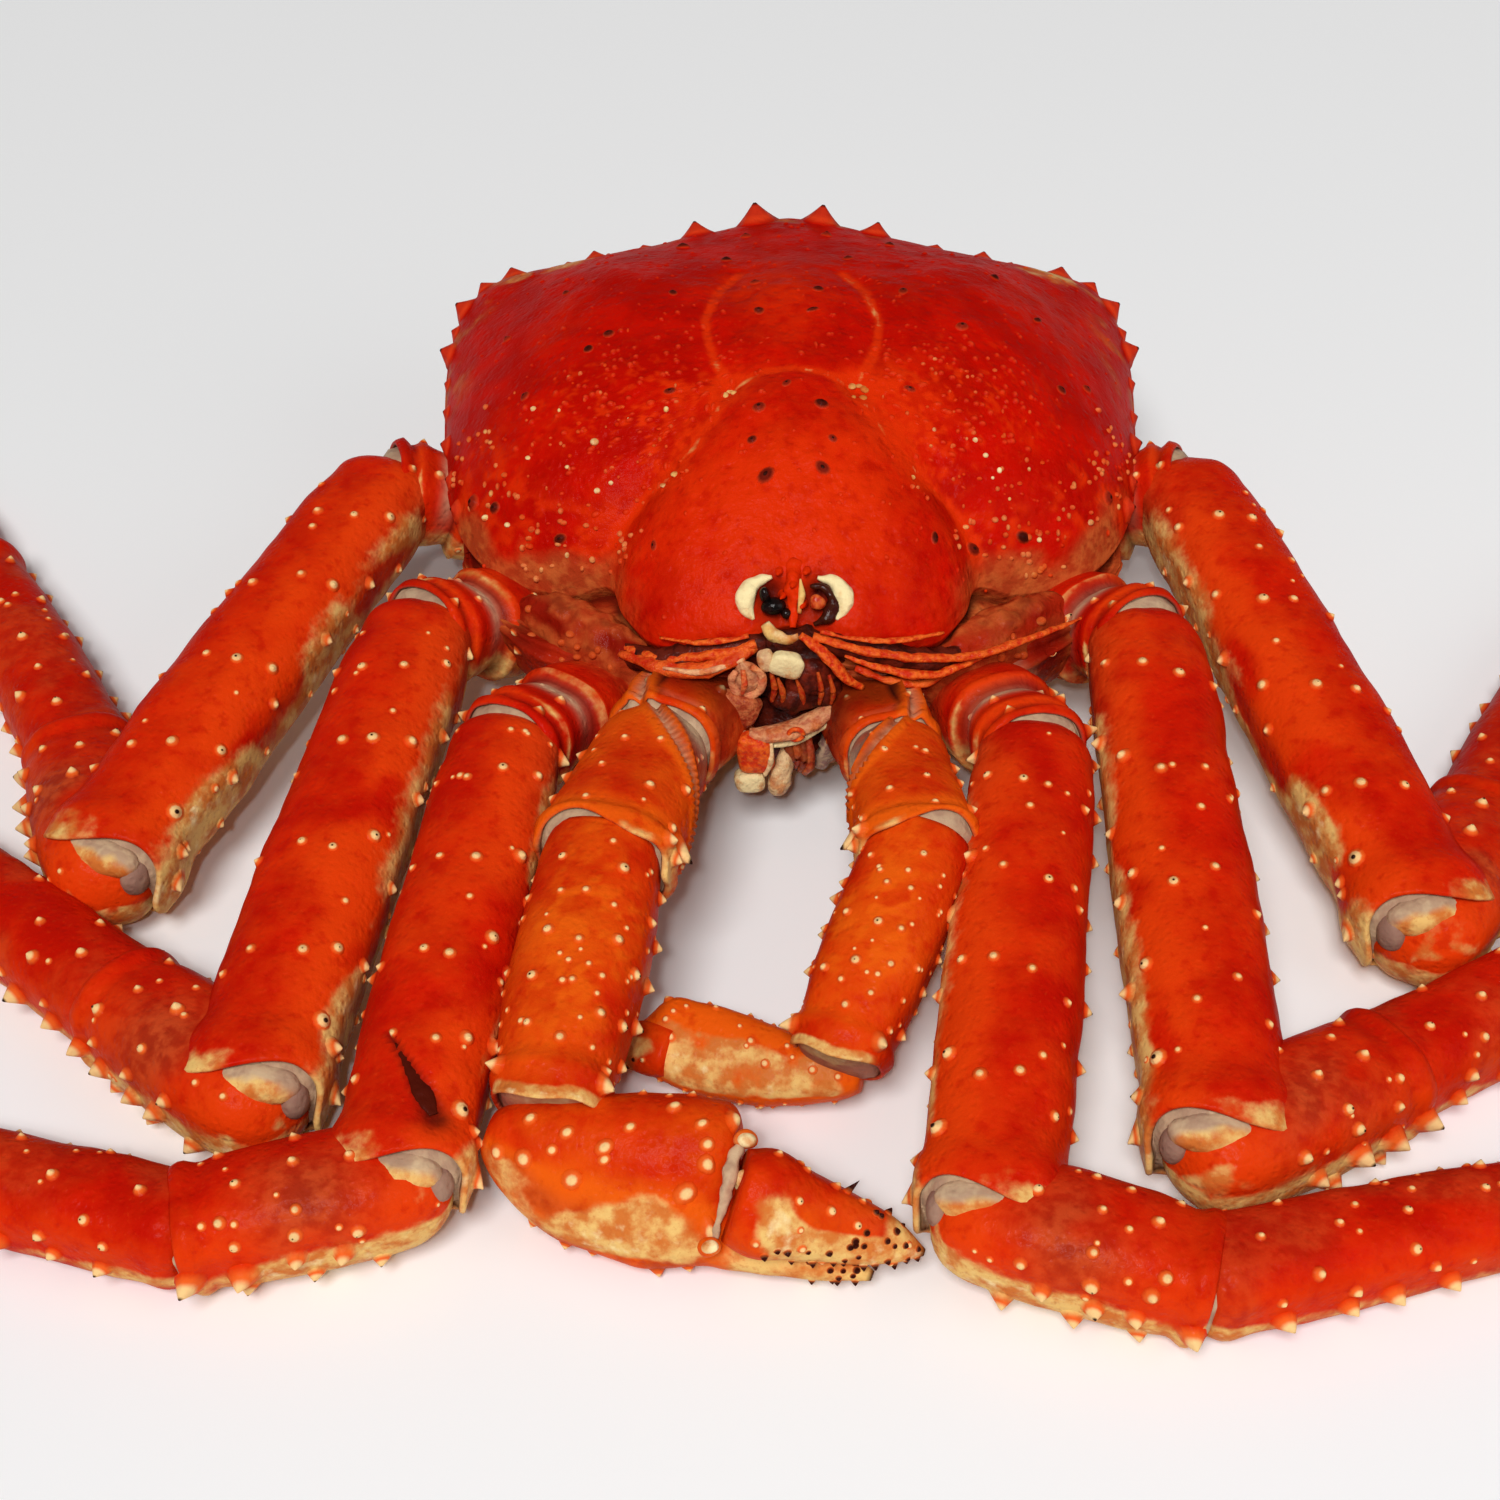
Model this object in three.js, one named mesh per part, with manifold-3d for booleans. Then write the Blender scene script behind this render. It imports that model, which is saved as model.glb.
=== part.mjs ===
// A whole cooked red king crab, lying on its folded abdomen with its legs and claws drawn forward.
// Millimetres, +Z up. The crab faces -Y. Its own right side is at -X, its left side at +X.
// Points below are given in the body frame: x = 0 is the crab's midline, y = 0 the middle of its shell and
// z = 0 the table. The finished group is moved so that its origin is the bottom centre of its box.
// Each hard piece of the shell is its own mesh. A piece that seats in its neighbour is cut clear of it.

import * as THREE from "three";
import { mergeVertices } from "three/addons/utils/BufferGeometryUtils.js";
import Module from "manifold-3d";

const wasm = await Module();
wasm.setup();
const { Manifold, Mesh } = wasm;

// ---------------------------------------------------------------- driving dimensions

const GAP = 0.4; // clearance between a piece and its neighbour
const LIMB_SIDES = 8; // faces round a leg or claw segment
const START_DOME = 2.5; // how far a segment's first end bulges past its first ring
const END_DOME = 0.5; // the same at its far end

// Spines
const SPINE_SIDES = 3;
const SPINE_RADIUS = 0.6; // radius of a spine's foot, as a share of its height
const SPINE_SINK = 0.35; // share of a spine's height that is buried in the shell
const SPINE_LEAN = 0.35; // how far limb spines lean towards the limb's tip
const SPINE_FLOOR = 4; // no spine's root lies lower than this

// The shell's margin, one half, from the root of the rostrum round to the middle of the back: x, y, z.
const MARGIN = [
  [0, -79, 63],
  [14, -83, 60.5],
  [28, -82, 58],
  [40, -78, 56],
  [49, -65, 56],
  [54, -50, 55],
  [68, -47, 50],
  [90, -35, 50],
  [103, -10, 53],
  [109, 40, 57],
  [109, 74, 62],
  [101, 93, 68],
  [82, 97, 73],
  [55, 94, 82],
  [30, 98, 87],
  [0, 105, 90],
];
const SHELL_CENTRE_Y = 12;
const SHELL_TOP = 104; // height of the crown of the shell, without its swellings
const CROWN_Y = 28;
const FRONT_DROP = 17; // how much lower the crown line runs over the rostrum
const BACK_DROP = 8; // how much lower it runs over the back margin
const SHELL_BULGE = [2.4, 0.6]; // the two powers that shape the fall from the crown to the margin
const SHELL_AROUND = 38;
const MARGIN_SEARCH = 400; // points on the margin from which the nearest to a spine is picked
const SHELL_RINGS = [0.18, 0.37, 0.54, 0.69, 0.82, 0.92, 1];
const RIM_DEPTH = 7; // thickness of the shell at its margin
const UNDER_RINGS = [0.955, 0.5]; // shares of the margin at which the underside has its rings
const SHELL_UNDER = 50; // height of the middle of the shell's underside

// Swellings of the shell, and where the height is below zero hollows: x, y, radius across, radius along,
// height. Those off the midline are mirrored.
const LOBES = [
  [0, -38, 26, 32, 5],
  [0, 30, 19, 24, 3],
  [58, 30, 34, 44, 3],
  [40, -60, 15, 14, 3],
  [92, 72, 26, 34, -8],
];

// Spines of the shell. Margin spines stand at even steps on each half, and grow towards the back.
const MARGIN_SPINES = { perSide: 12, from: 0.19, to: 0.484, height: [3.6, 7.5], sink: 1.5 };
// Crown spines stand in pairs along each region, or on arcs round the middle of each flank: x, y, height.
const CROWN_PAIRS = [
  [11, -46, 4],
  [10, -24, 3],
  [9, 8, 3],
  [11, 36, 3],
  [30, 72, 4],
  [27, -66, 3],
];
const FLANK_ARCS = { centre: [62, 26], start: -150, radii: [18, 37], counts: [3, 4], height: 3 };

const SPINE_FOCUS = 40; // height of the point in the middle of the shell that its spines point away from
const ARC_STAGGER = 0.4; // how far each arc's spines are turned on from those of the arc inside it, in steps
const ARC_STRETCH = 1.3; // how much longer the arcs are than wide
const ROSTRUM = { radius: 3.6, length: 17, place: [-0.5, -76, 70], dip: 38, sides: 6 };

// The body below the shell: its outline on one half at the height of the limbs, x, y, z, and what is left
// of that outline further down: share, height.
const CHEEK = [
  [0, -80, 40],
  [24, -82, 40],
  [48, -80, 42],
  [68, -73, 44],
  [84, -60, 46],
  [95, -36, 44],
  [99, -8, 40],
  [99, 24, 43],
  [96, 54, 48],
  [84, 78, 54],
  [48, 100, 60],
  [0, 106, 62],
];
const BELLY = [
  [0.92, 24],
  [0.68, 8],
];
const BODY_AROUND = 20;
const ROOF_RINGS = [0.5, 0.9]; // shares of the margin at which the top of the body follows the shell
const ROOF_GAP = 1.5; // clearance between the top of the body and the underside of the shell

// The abdomen's run from the back margin down and forward under the body: y, z, half width.
const ABDOMEN_RUN = [
  [97, 73, 38],
  [111, 65, 44],
  [115, 47, 46],
  [107, 26, 46],
  [87, 10, 43],
  [56, 4, 37],
  [24, 3.6, 29],
  [-8, 3.6, 20],
  [-30, 3.6, 9],
];
const ABDOMEN_HALF_THICKNESS = 4;
const ABDOMEN_SIDES = 12;

// Half width and half depth of each kind of segment, and how they vary along it:
// place, width, depth and, for the palm, how far its middle line moves to the front.
const KINDS = {
  coxa: {
    half: [14, 13],
    profile: [[0, 0.9, 0.9], [0.3, 1, 1], [0.55, 0.9, 0.9], [0.8, 1.04, 1], [1, 0.84, 0.84]],
  },
  merus: {
    half: [15.4, 14],
    profile: [[0, 0.62, 0.62], [0.05, 0.93, 0.92], [0.3, 1.02, 1.01], [0.7, 1.08, 1.06], [1, 1.08, 1.06]],
  },
  carpus: {
    half: [14.6, 14.2],
    profile: [[0, 0.62, 0.62], [0.16, 0.86, 0.86], [0.45, 1.06, 1.04], [0.78, 1.03, 1], [1, 0.92, 0.9]],
  },
  propodus: {
    half: [12.8, 12.4],
    profile: [[0, 0.66, 0.68], [0.07, 0.95, 0.95], [0.3, 1.02, 1], [0.65, 0.93, 0.94], [1, 0.74, 0.76]],
  },
  dactylus: {
    half: [7.6, 7.4],
    profile: [[0, 0.72, 0.72], [0.14, 1, 1], [0.45, 0.72, 0.74], [0.75, 0.42, 0.46], [1, 0.1, 0.12]],
  },
  clawCoxa: { half: [17, 14], profile: [[0, 0.85, 0.9], [0.35, 1, 1], [0.7, 1.02, 1], [1, 0.86, 0.86]] },
  clawMerus: {
    half: [17.5, 15],
    profile: [[0, 0.66, 0.7], [0.12, 0.86, 0.9], [0.45, 1, 1], [0.82, 1.06, 1.04], [1, 1.06, 1]],
  },
  clawCarpus: {
    half: [16.6, 15],
    profile: [[0, 0.7, 0.72], [0.14, 0.96, 0.96], [0.45, 1.05, 1.03], [0.8, 0.98, 1], [1, 0.84, 0.88]],
  },
  clawPalm: {
    half: [22, 14],
    profile: [
      [0, 0.3, 0.55, 0],
      [0.08, 0.56, 0.85, 0],
      [0.21, 0.8, 0.97, 0],
      [0.36, 0.96, 1, -0.11],
      [0.48, 0.98, 0.98, -0.2],
      [0.57, 0.86, 0.88, -0.25],
      [0.65, 0.48, 0.62, 0.03],
      [0.77, 0.28, 0.44, 0.1],
      [1, 0.08, 0.12, 0],
    ],
  },
  clawFinger: {
    half: [15, 11],
    profile: [
      [0, 0.76, 0.86],
      [0.1, 0.88, 0.98],
      [0.38, 0.68, 0.8],
      [0.6, 0.55, 0.66],
      [0.88, 0.3, 0.36],
      [1, 0.1, 0.12],
    ],
  },
};

// Spine rows of each kind: angle from the outer side (90 is up), first and last place, how many, and height
// on a limb of size 1.
const SPINE_ROWS = {
  merus: [
    [6, 0.08, 0.88, 5, 3.4],
    [56, 0.16, 0.84, 3, 3],
    [104, 0.08, 0.9, 3, 3.2],
    [172, 0.26, 0.88, 3, 3.2],
  ],
  carpus: [
    [86, 0.25, 0.85, 3, 3.4],
    [154, 0.26, 0.9, 2, 4.8],
    [190, 0.32, 0.94, 3, 6],
  ],
  propodus: [
    [12, 0.12, 0.88, 3, 3.2],
    [96, 0.12, 0.86, 3, 2.8],
    [186, 0.1, 0.9, 5, 4.6],
  ],
  dactylus: [[90, 0.25, 0.25, 1, 1.8]],
  clawMerus: [[20, 0.4, 0.9, 2, 3.4], [90, 0.3, 0.86, 2, 3]],
  clawCarpus: [
    [4, 0.2, 0.9, 3, 3.6],
    [62, 0.24, 0.84, 2, 3],
    [118, 0.24, 0.84, 2, 3.2],
    [176, 0.16, 0.94, 4, 4.4],
  ],
  clawPalm: [[66, 0.22, 0.54, 2, 3.6], [110, 0.28, 0.54, 2, 3.4], [0, 0.1, 0.5, 3, 3]],
  clawFinger: [[84, 0.3, 0.6, 2, 2.2]],
};
const SEED_STEPS = [97, 13]; // steps in the repeatable noise from one segment to the next, and between rows
const ROW_JITTER = [0.03, 12]; // how far a spine strays along its row, and round the limb in degrees

// One large spine on the rim of a segment's far end: angle and height.
const RIM_SPINES = { merus: [14, 6], clawMerus: [180, 8], clawCarpus: [6, 5] };
const RIM_PLACE = 0.95;

// Legs. Hip and root of the merus: x, y, z. Knee, where the merus ends, and wrist, where the carpus ends:
// x, y. The heading of the last two segments, in degrees anticlockwise from +X, and the girth of the leg.
const leg = (hip, root, knee, wrist, heading, girth) => ({ hip, root, knee, wrist, heading, girth });
const LEGS = {
  front_right: leg([-50, -66, 28], [-79, -106, 45], [-98, -239], [-150, -256], 163, 1.04),
  middle_right: leg([-74, -30, 28], [-107, -57, 47], [-137, -211], [-178, -180], 138, 1.12),
  rear_right: leg([-80, 14, 32], [-122, 13, 49], [-188, -127], [-208, -79], 118, 1.12),
  front_left: leg([50, -66, 28], [67, -109, 45], [46, -250], [97, -271], 16, 1.06),
  middle_left: leg([74, -30, 28], [101, -61, 47], [104, -228], [151, -204], 33, 1.12),
  rear_left: leg([80, 14, 32], [120, 13, 49], [168, -150], [197, -107], 61, 1.12),
};
const KNEE_HEIGHT = 20;
const WRIST_HEIGHT = 13.2;
const ANKLE_HEIGHT = 9.2;
const TIP_HEIGHT = 3.2;
const PROPODUS_LENGTH = 114;
const DACTYLUS_LENGTH = 62;
const DACTYLUS_TURN = 8; // how far the last segment curls back past the heading
const MERUS_OVERHANG = 5; // how far the merus reaches past the knee
const CARPUS_OUTSET = 7; // how far past the knee the carpus turns off
const JOINT_OVERLAP = 4; // how far each later segment starts inside the one before
const COXA_OVERLAP = 5;
const ARCH = { coxa: 2, merus: 5, carpus: 2, propodus: 1.5, dactylus: 5 }; // rise of the bend in each
const LEG_SEED = 7; // steps between the seeds of the legs' spines

// Claws. All joints are x, y, z. The hinge is where the movable finger starts.
const CLAWS = {
  right: {
    hip: [-22, -68, 33],
    root: [-36, -102, 42],
    elbow: [-51, -158, 46],
    wrist: [-62, -229, 30],
    palm: [-76.5, -232, 22],
    pollex: [17, -265, 7],
    hinge: [-16, -256, 26],
    tip: [29.5, -261, 11],
    size: 1,
    palmSize: 1,
    roll: 50,
  },
  left: {
    hip: [18, -68, 33],
    root: [26, -106, 42],
    elbow: [32, -154, 45],
    wrist: [10, -207, 24],
    palm: [16, -207, 14],
    pollex: [-76, -183, 7],
    hinge: [-33, -197, 13],
    tip: [-68, -181, 9],
    size: 0.86,
    palmSize: 0.54,
    roll: 35,
  },
};

const CLAW_SEED = 60;

const EYE = { place: [6.6, -77.6, 69], radii: [3.8, 3.4, 4] };
// Antennae and the outermost mouth limbs: radius, share of it that is left at the tip, and middle line.
const FEELERS = {
  antenna_left: {
    radius: 2.2,
    tip: 0.4,
    run: [[11, -87, 60], [24, -87, 58], [38, -86, 56], [52, -81, 54], [70, -72, 54], [84, -62, 52]],
  },
  antenna_right: {
    radius: 2.2,
    tip: 0.4,
    run: [[-15, -87, 60], [-26, -87, 58], [-37, -84, 55], [-46, -78, 53], [-55, -68, 51], [-66, -61, 50]],
  },
  maxilliped_left: {
    radius: 5.5,
    tip: 0.75,
    run: [[14, -86, 40], [2, -93, 37], [-9, -97, 30], [-11, -98, 18]],
  },
  maxilliped_right: { radius: 6, tip: 0.8, run: [[-11, -84, 53], [-16, -90, 46], [-18, -95, 36]] },
};
const FEELER_STEPS = 8;
const FEELER_SIDES = 6;
const ROUND_FACES = [8, 6]; // faces round and over an eye or the mouth
const MOUTH = { place: [-2, -86, 50], radii: [10, 9, 9] };

const COLOURS = {
  shell: 0xc02a0a,
  body: 0xa8442a,
  leg: 0xd0400f,
  claw: 0xd9541a,
  eye: 0x181010,
  mouth: 0x7a2a18,
  feeler: 0xd85a1c,
};

// ---------------------------------------------------------------- small maths

const UP = new THREE.Vector3(0, 0, 1);
const ACROSS = new THREE.Vector3(1, 0, 0);
const CONE_AXIS = new THREE.Vector3(0, 1, 0);
const vec = (p) => new THREE.Vector3(...p);
const radians = THREE.MathUtils.degToRad;

// A repeatable number from 0 to 1 for each number given.
function noise(n) {
  const s = Math.sin(n * 12.9898 + 4.1414) * 43758.5453;
  return s - Math.floor(s);
}

// The row at a place in a profile, whose rows start with their place.
function between(rows, t) {
  let i = 1;
  while (i < rows.length - 1 && rows[i][0] < t) i++;
  const [a, b] = [rows[i - 1], rows[i]];
  const k = THREE.MathUtils.clamp((t - a[0]) / (b[0] - a[0]), 0, 1);
  return a.map((value, j) => value + (b[j] - value) * k);
}

// ---------------------------------------------------------------- meshes and solids

// Closes a stack of rings of points with a fan at each end.
function closedRings(rings, startPoint, endPoint) {
  const sides = rings[0].length;
  const last = (rings.length - 1) * sides;
  const tip = rings.length * sides;
  const index = [];
  for (let k = 0; k < sides; k++) {
    const next = (k + 1) % sides;
    for (let row = 0; row < last; row += sides) {
      index.push(row + k, row + next, row + next + sides, row + k, row + next + sides, row + k + sides);
    }
    index.push(tip, next, k, tip + 1, last + k, last + next);
  }
  const geometry = new THREE.BufferGeometry().setFromPoints([...rings.flat(), startPoint, endPoint]);
  geometry.setIndex(index);
  return geometry;
}

function solidOf(geometry) {
  geometry.deleteAttribute("normal");
  geometry.deleteAttribute("uv");
  const merged = mergeVertices(geometry, 1e-4);
  const triVerts = new Uint32Array(merged.index.array);
  const vertProperties = new Float32Array(merged.attributes.position.array);
  const solid = new Manifold(new Mesh({ numProp: 3, vertProperties, triVerts }));
  if (solid.volume() > 0) return solid;
  for (let i = 0; i < triVerts.length; i += 3) {
    [triVerts[i], triVerts[i + 1]] = [triVerts[i + 1], triVerts[i]];
  }
  return new Manifold(new Mesh({ numProp: 3, vertProperties, triVerts }));
}

function geometryOf(solid) {
  const mesh = solid.getMesh();
  const geometry = new THREE.BufferGeometry();
  geometry.setAttribute("position", new THREE.BufferAttribute(mesh.vertProperties, 3));
  geometry.setIndex(new THREE.BufferAttribute(mesh.triVerts, 1));
  geometry.computeVertexNormals();
  return geometry;
}

function ellipsoid(place, radii, grow = 0) {
  const geometry = new THREE.SphereGeometry(1, ROUND_FACES[0], ROUND_FACES[1]);
  geometry.scale(...radii.map((r) => r + grow));
  geometry.translate(...place);
  return solidOf(geometry);
}

function spine(root, outward, height) {
  const geometry = new THREE.ConeGeometry(height * SPINE_RADIUS, height * (1 + SPINE_SINK), SPINE_SIDES);
  geometry.translate(0, (height * (1 - SPINE_SINK)) / 2, 0);
  geometry.applyQuaternion(new THREE.Quaternion().setFromUnitVectors(CONE_AXIS, outward.clone().normalize()));
  geometry.translate(...root.toArray());
  return solidOf(geometry);
}

const joined = (solids) => solids.reduce((sum, one) => sum.add(one));
const touches = (a, b) => a.intersect(b).volume() > 0;

// ---------------------------------------------------------------- limb segments

// A segment of a limb: its kind, its middle line, its size, its turn about that line and its outer side.
function segment(kind, start, end, { arch = 0, size = 1, roll = 0, outer = 1, seed = 0 }) {
  const bend = start.clone().lerp(end, 0.5).addScaledVector(UP, arch);
  const half = KINDS[kind].half.map((h) => h * size);
  const curve = new THREE.QuadraticBezierCurve3(start, bend, end);
  return { kind, curve, size, half, roll: radians(roll) * outer, outer, seed, profile: KINDS[kind].profile };
}

// The point of a segment's surface at a place along it and an angle round it, and its outward direction.
function surface(part, t, angle, grow = 0) {
  const along = part.curve.getTangent(t);
  const side = along.clone().cross(UP).normalize().multiplyScalar(part.outer);
  side.applyAxisAngle(along, part.roll);
  const top = side.clone().cross(along).multiplyScalar(part.outer);
  const [, wide, deep, shift = 0] = between(part.profile, t);
  const out = side
    .clone()
    .multiplyScalar(Math.cos(angle) * (part.half[0] * wide + grow))
    .addScaledVector(top, Math.sin(angle) * (part.half[1] * deep + grow));
  const point = part.curve.getPoint(t).addScaledVector(side, shift * part.half[0]).add(out);
  return { point, out, along };
}

// The angles of so many even steps round a circle.
const turns = (count) => Array.from({ length: count }, (_, k) => (2 * Math.PI * k) / count);

function bodyOf(part, grow = 0) {
  const ringAt = (t) => turns(LIMB_SIDES).map((angle) => surface(part, t, angle, grow).point);
  const rings = part.profile.map(([t]) => ringAt(t));
  const startPoint = part.curve.getPoint(0).addScaledVector(part.curve.getTangent(0), -grow - START_DOME);
  const endPoint = part.curve.getPoint(1).addScaledVector(part.curve.getTangent(1), grow + END_DOME);
  return solidOf(closedRings(rings, startPoint, endPoint));
}

function spinesOf(part) {
  const made = [];
  const add = (t, angle, height) => {
    const { point, out, along } = surface(part, t, radians(angle));
    const lean = out.normalize().addScaledVector(along, SPINE_LEAN);
    if (point.z > SPINE_FLOOR) made.push(spine(point, lean, height * part.size));
  };
  (SPINE_ROWS[part.kind] ?? []).forEach(([angle, from, to, count, height], row) => {
    for (let i = 0; i < count; i++) {
      const pick = part.seed * SEED_STEPS[0] + row * SEED_STEPS[1] + i;
      const t = from + ((to - from) * (i + 0.5 * (row % 2))) / Math.max(1, count - 0.5);
      const [forth, round] = [noise(pick) - 0.5, noise(pick + 0.5) - 0.5];
      const tall = height * (0.8 + 0.4 * noise(pick + 0.25));
      add(t + forth * ROW_JITTER[0], angle + round * ROW_JITTER[1], tall);
    }
  });
  const rim = RIM_SPINES[part.kind];
  if (rim) add(RIM_PLACE, ...rim);
  return made;
}

function legChain(name, index) {
  const { hip, root, knee, wrist, heading, girth } = LEGS[name];
  const outer = name.endsWith("right") ? 1 : -1;
  const towards = (angle) => vec([Math.cos(radians(angle)), Math.sin(radians(angle)), 0]);
  const joints = [vec(root), vec([...knee, KNEE_HEIGHT]), vec([...wrist, WRIST_HEIGHT])];
  joints.push(joints[2].clone().addScaledVector(towards(heading), PROPODUS_LENGTH).setZ(ANKLE_HEIGHT));
  const last = towards(heading - outer * DACTYLUS_TURN);
  joints.push(joints[3].clone().addScaledVector(last, DACTYLUS_LENGTH).setZ(TIP_HEIGHT));

  const thigh = joints[1].clone().sub(joints[0]).normalize();
  const past = (from, distance) => from.clone().addScaledVector(thigh, distance);
  const before = (from, to) => from.clone().addScaledVector(to.clone().sub(from).normalize(), -JOINT_OVERLAP);
  const ends = {
    coxa: [vec(hip), past(joints[0], COXA_OVERLAP)],
    merus: [joints[0], past(joints[1], MERUS_OVERHANG)],
    carpus: [past(joints[1], CARPUS_OUTSET).setZ(KNEE_HEIGHT), joints[2]],
    propodus: [before(joints[2], joints[3]), joints[3]],
    dactylus: [before(joints[3], joints[4]), joints[4]],
  };
  return Object.entries(ends).map(([kind, [from, to]], i) =>
    segment(kind, from, to, { outer, arch: ARCH[kind], size: girth, seed: index * LEG_SEED + i }),
  );
}

function clawChain(side, index) {
  const claw = CLAWS[side];
  const outer = side === "right" ? 1 : -1;
  const options = (i) => ({ outer, size: claw.size, seed: CLAW_SEED + index * LEG_SEED + i });
  const [hip, root, elbow, wrist, palm, pollex, hinge, tip] = [
    claw.hip, claw.root, claw.elbow, claw.wrist, claw.palm, claw.pollex, claw.hinge, claw.tip,
  ].map(vec);
  const arm = elbow.clone().sub(root).normalize();
  const forearm = wrist.clone().sub(elbow).normalize();
  const hand = { size: claw.palmSize, roll: claw.roll };
  return [
    segment("clawCoxa", hip, root.clone().addScaledVector(arm, COXA_OVERLAP), options(0)),
    segment("clawMerus", root, elbow, options(1)),
    segment("clawCarpus", elbow.clone().addScaledVector(forearm, -JOINT_OVERLAP), wrist, options(2)),
    segment("clawPalm", palm, pollex, { ...options(3), ...hand }),
    segment("clawFinger", hinge, tip, { ...options(4), ...hand }),
  ];
}

// ---------------------------------------------------------------- shell, body and abdomen

// A closed outline from one half of it, whose first and last points are on the midline.
function mirroredCurve(half) {
  const other = half.slice(1, -1).reverse().map(([x, y, z]) => [-x, y, z]);
  return new THREE.CatmullRomCurve3([...half, ...other].map(vec), true, "catmullrom", 0.5);
}

const marginCurve = mirroredCurve(MARGIN);
const cheekCurve = mirroredCurve(CHEEK);
const shellCentre = (z) => vec([0, SHELL_CENTRE_Y, z]);
const pointsOf = (curve, count) => Array.from({ length: count }, (_, k) => curve.getPointAt(k / count));

// The height of the crown's surface over x, y, before it falls away to the margin.
function crownHeight(x, y) {
  const front = Math.min(0, y - CROWN_Y) / (CROWN_Y - MARGIN[0][1]);
  const back = Math.max(0, y - CROWN_Y) / (MARGIN[MARGIN.length - 1][1] - CROWN_Y);
  const swelling = LOBES.reduce((sum, [lx, ly, rx, ry, height]) => {
    const at = (cx) => Math.exp(-(((x - cx) / rx) ** 2) - ((y - ly) / ry) ** 2);
    return sum + height * (lx === 0 ? at(0) : at(lx) + at(-lx));
  }, 0);
  return SHELL_TOP + swelling - FRONT_DROP * front ** 2 - BACK_DROP * back ** 2;
}

// The margin point m drawn in towards the middle of the shell, to share r of the way.
const inset = (m, r) => [m.x * r, SHELL_CENTRE_Y + (m.y - SHELL_CENTRE_Y) * r];

function shellPoint(m, r) {
  const [x, y] = inset(m, r);
  const rise = (1 - r ** SHELL_BULGE[0]) ** SHELL_BULGE[1];
  return vec([x, y, m.z + (crownHeight(x, y) - m.z) * rise]);
}

function underPoint(m, r) {
  return vec([...inset(m, r), SHELL_UNDER + (m.z - RIM_DEPTH - SHELL_UNDER) * r]);
}

// The point of the shell over x, y, on the line from its middle to the margin point that lies the same way.
function onShell(x, y) {
  const turn = (px, py) => Math.atan2(py - SHELL_CENTRE_Y, px);
  const away = (m) => Math.abs(turn(m.x, m.y) - turn(x, y));
  const m = pointsOf(marginCurve, MARGIN_SEARCH).reduce((best, one) => (away(one) < away(best) ? one : best));
  return shellPoint(m, Math.hypot(x, y - SHELL_CENTRE_Y) / Math.hypot(m.x, m.y - SHELL_CENTRE_Y));
}

// The shell without its spines, made larger all round by grow.
function shellBody(grow = 0) {
  const points = pointsOf(marginCurve, SHELL_AROUND);
  const swell = (p, m, up) => {
    const out = vec([m.x, m.y - SHELL_CENTRE_Y, 0]).normalize();
    return p.addScaledVector(out, grow).addScaledVector(UP, grow * up);
  };
  const top = SHELL_RINGS.map((r) => points.map((m) => swell(shellPoint(m, r), m, 1)));
  const under = UNDER_RINGS.map((r) => points.map((m) => swell(underPoint(m, r), m, -1)));
  const crown = shellCentre(crownHeight(0, SHELL_CENTRE_Y) + grow);
  return solidOf(closedRings([...top, ...under], crown, shellCentre(SHELL_UNDER - grow)));
}

// Spines round the margin, then over the crown. All stand out from a point low in the middle of the shell.
function shellSpines() {
  const made = [];
  const { perSide, from, to, height, sink } = MARGIN_SPINES;
  for (let k = 0; k < perSide; k++) {
    const share = k / (perSide - 1);
    const place = from + (to - from) * share;
    const tall = height[0] + (height[1] - height[0]) * share * (k % 2 ? 1 : 0.55);
    [place, 1 - place].forEach((at) => {
      const root = marginCurve.getPointAt(at).addScaledVector(UP, sink);
      made.push(spine(root, root.clone().sub(shellCentre(SPINE_FOCUS)), tall));
    });
  }
  const pairs = [...CROWN_PAIRS];
  FLANK_ARCS.radii.forEach((radius, ring) => {
    for (let i = 0; i < FLANK_ARCS.counts[ring]; i++) {
      const angle = radians(FLANK_ARCS.start + (360 * (i + ARC_STAGGER * ring)) / FLANK_ARCS.counts[ring]);
      const [cx, cy] = FLANK_ARCS.centre;
      const [dx, dy] = [radius * Math.cos(angle), radius * ARC_STRETCH * Math.sin(angle)];
      pairs.push([cx + dx, cy + dy, FLANK_ARCS.height]);
    }
  });
  pairs.forEach(([x, y, tall]) => {
    const point = onShell(x, y);
    [1, -1].forEach((side) => {
      const root = vec([side * point.x, point.y, point.z]);
      made.push(spine(root, root.clone().sub(shellCentre(SPINE_FOCUS)), tall));
    });
  });
  return made;
}

function buildRostrum() {
  const cone = new THREE.ConeGeometry(ROSTRUM.radius, ROSTRUM.length, ROSTRUM.sides);
  cone.rotateX(Math.PI + radians(90 - ROSTRUM.dip));
  cone.translate(...ROSTRUM.place);
  return solidOf(cone);
}

function buildBody() {
  const margin = pointsOf(marginCurve, BODY_AROUND);
  const cheek = pointsOf(cheekCurve, BODY_AROUND);
  const roof = ROOF_RINGS.map((r) => margin.map((m) => underPoint(m, r).addScaledVector(UP, -ROOF_GAP)));
  const walls = BELLY.map(([r, z]) => cheek.map((c) => vec([...inset(c, r), z])));
  const [top, bottom] = [SHELL_UNDER - ROOF_GAP, BELLY[BELLY.length - 1][1]].map(shellCentre);
  return solidOf(closedRings([...roof, cheek, ...walls], top, bottom));
}

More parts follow.
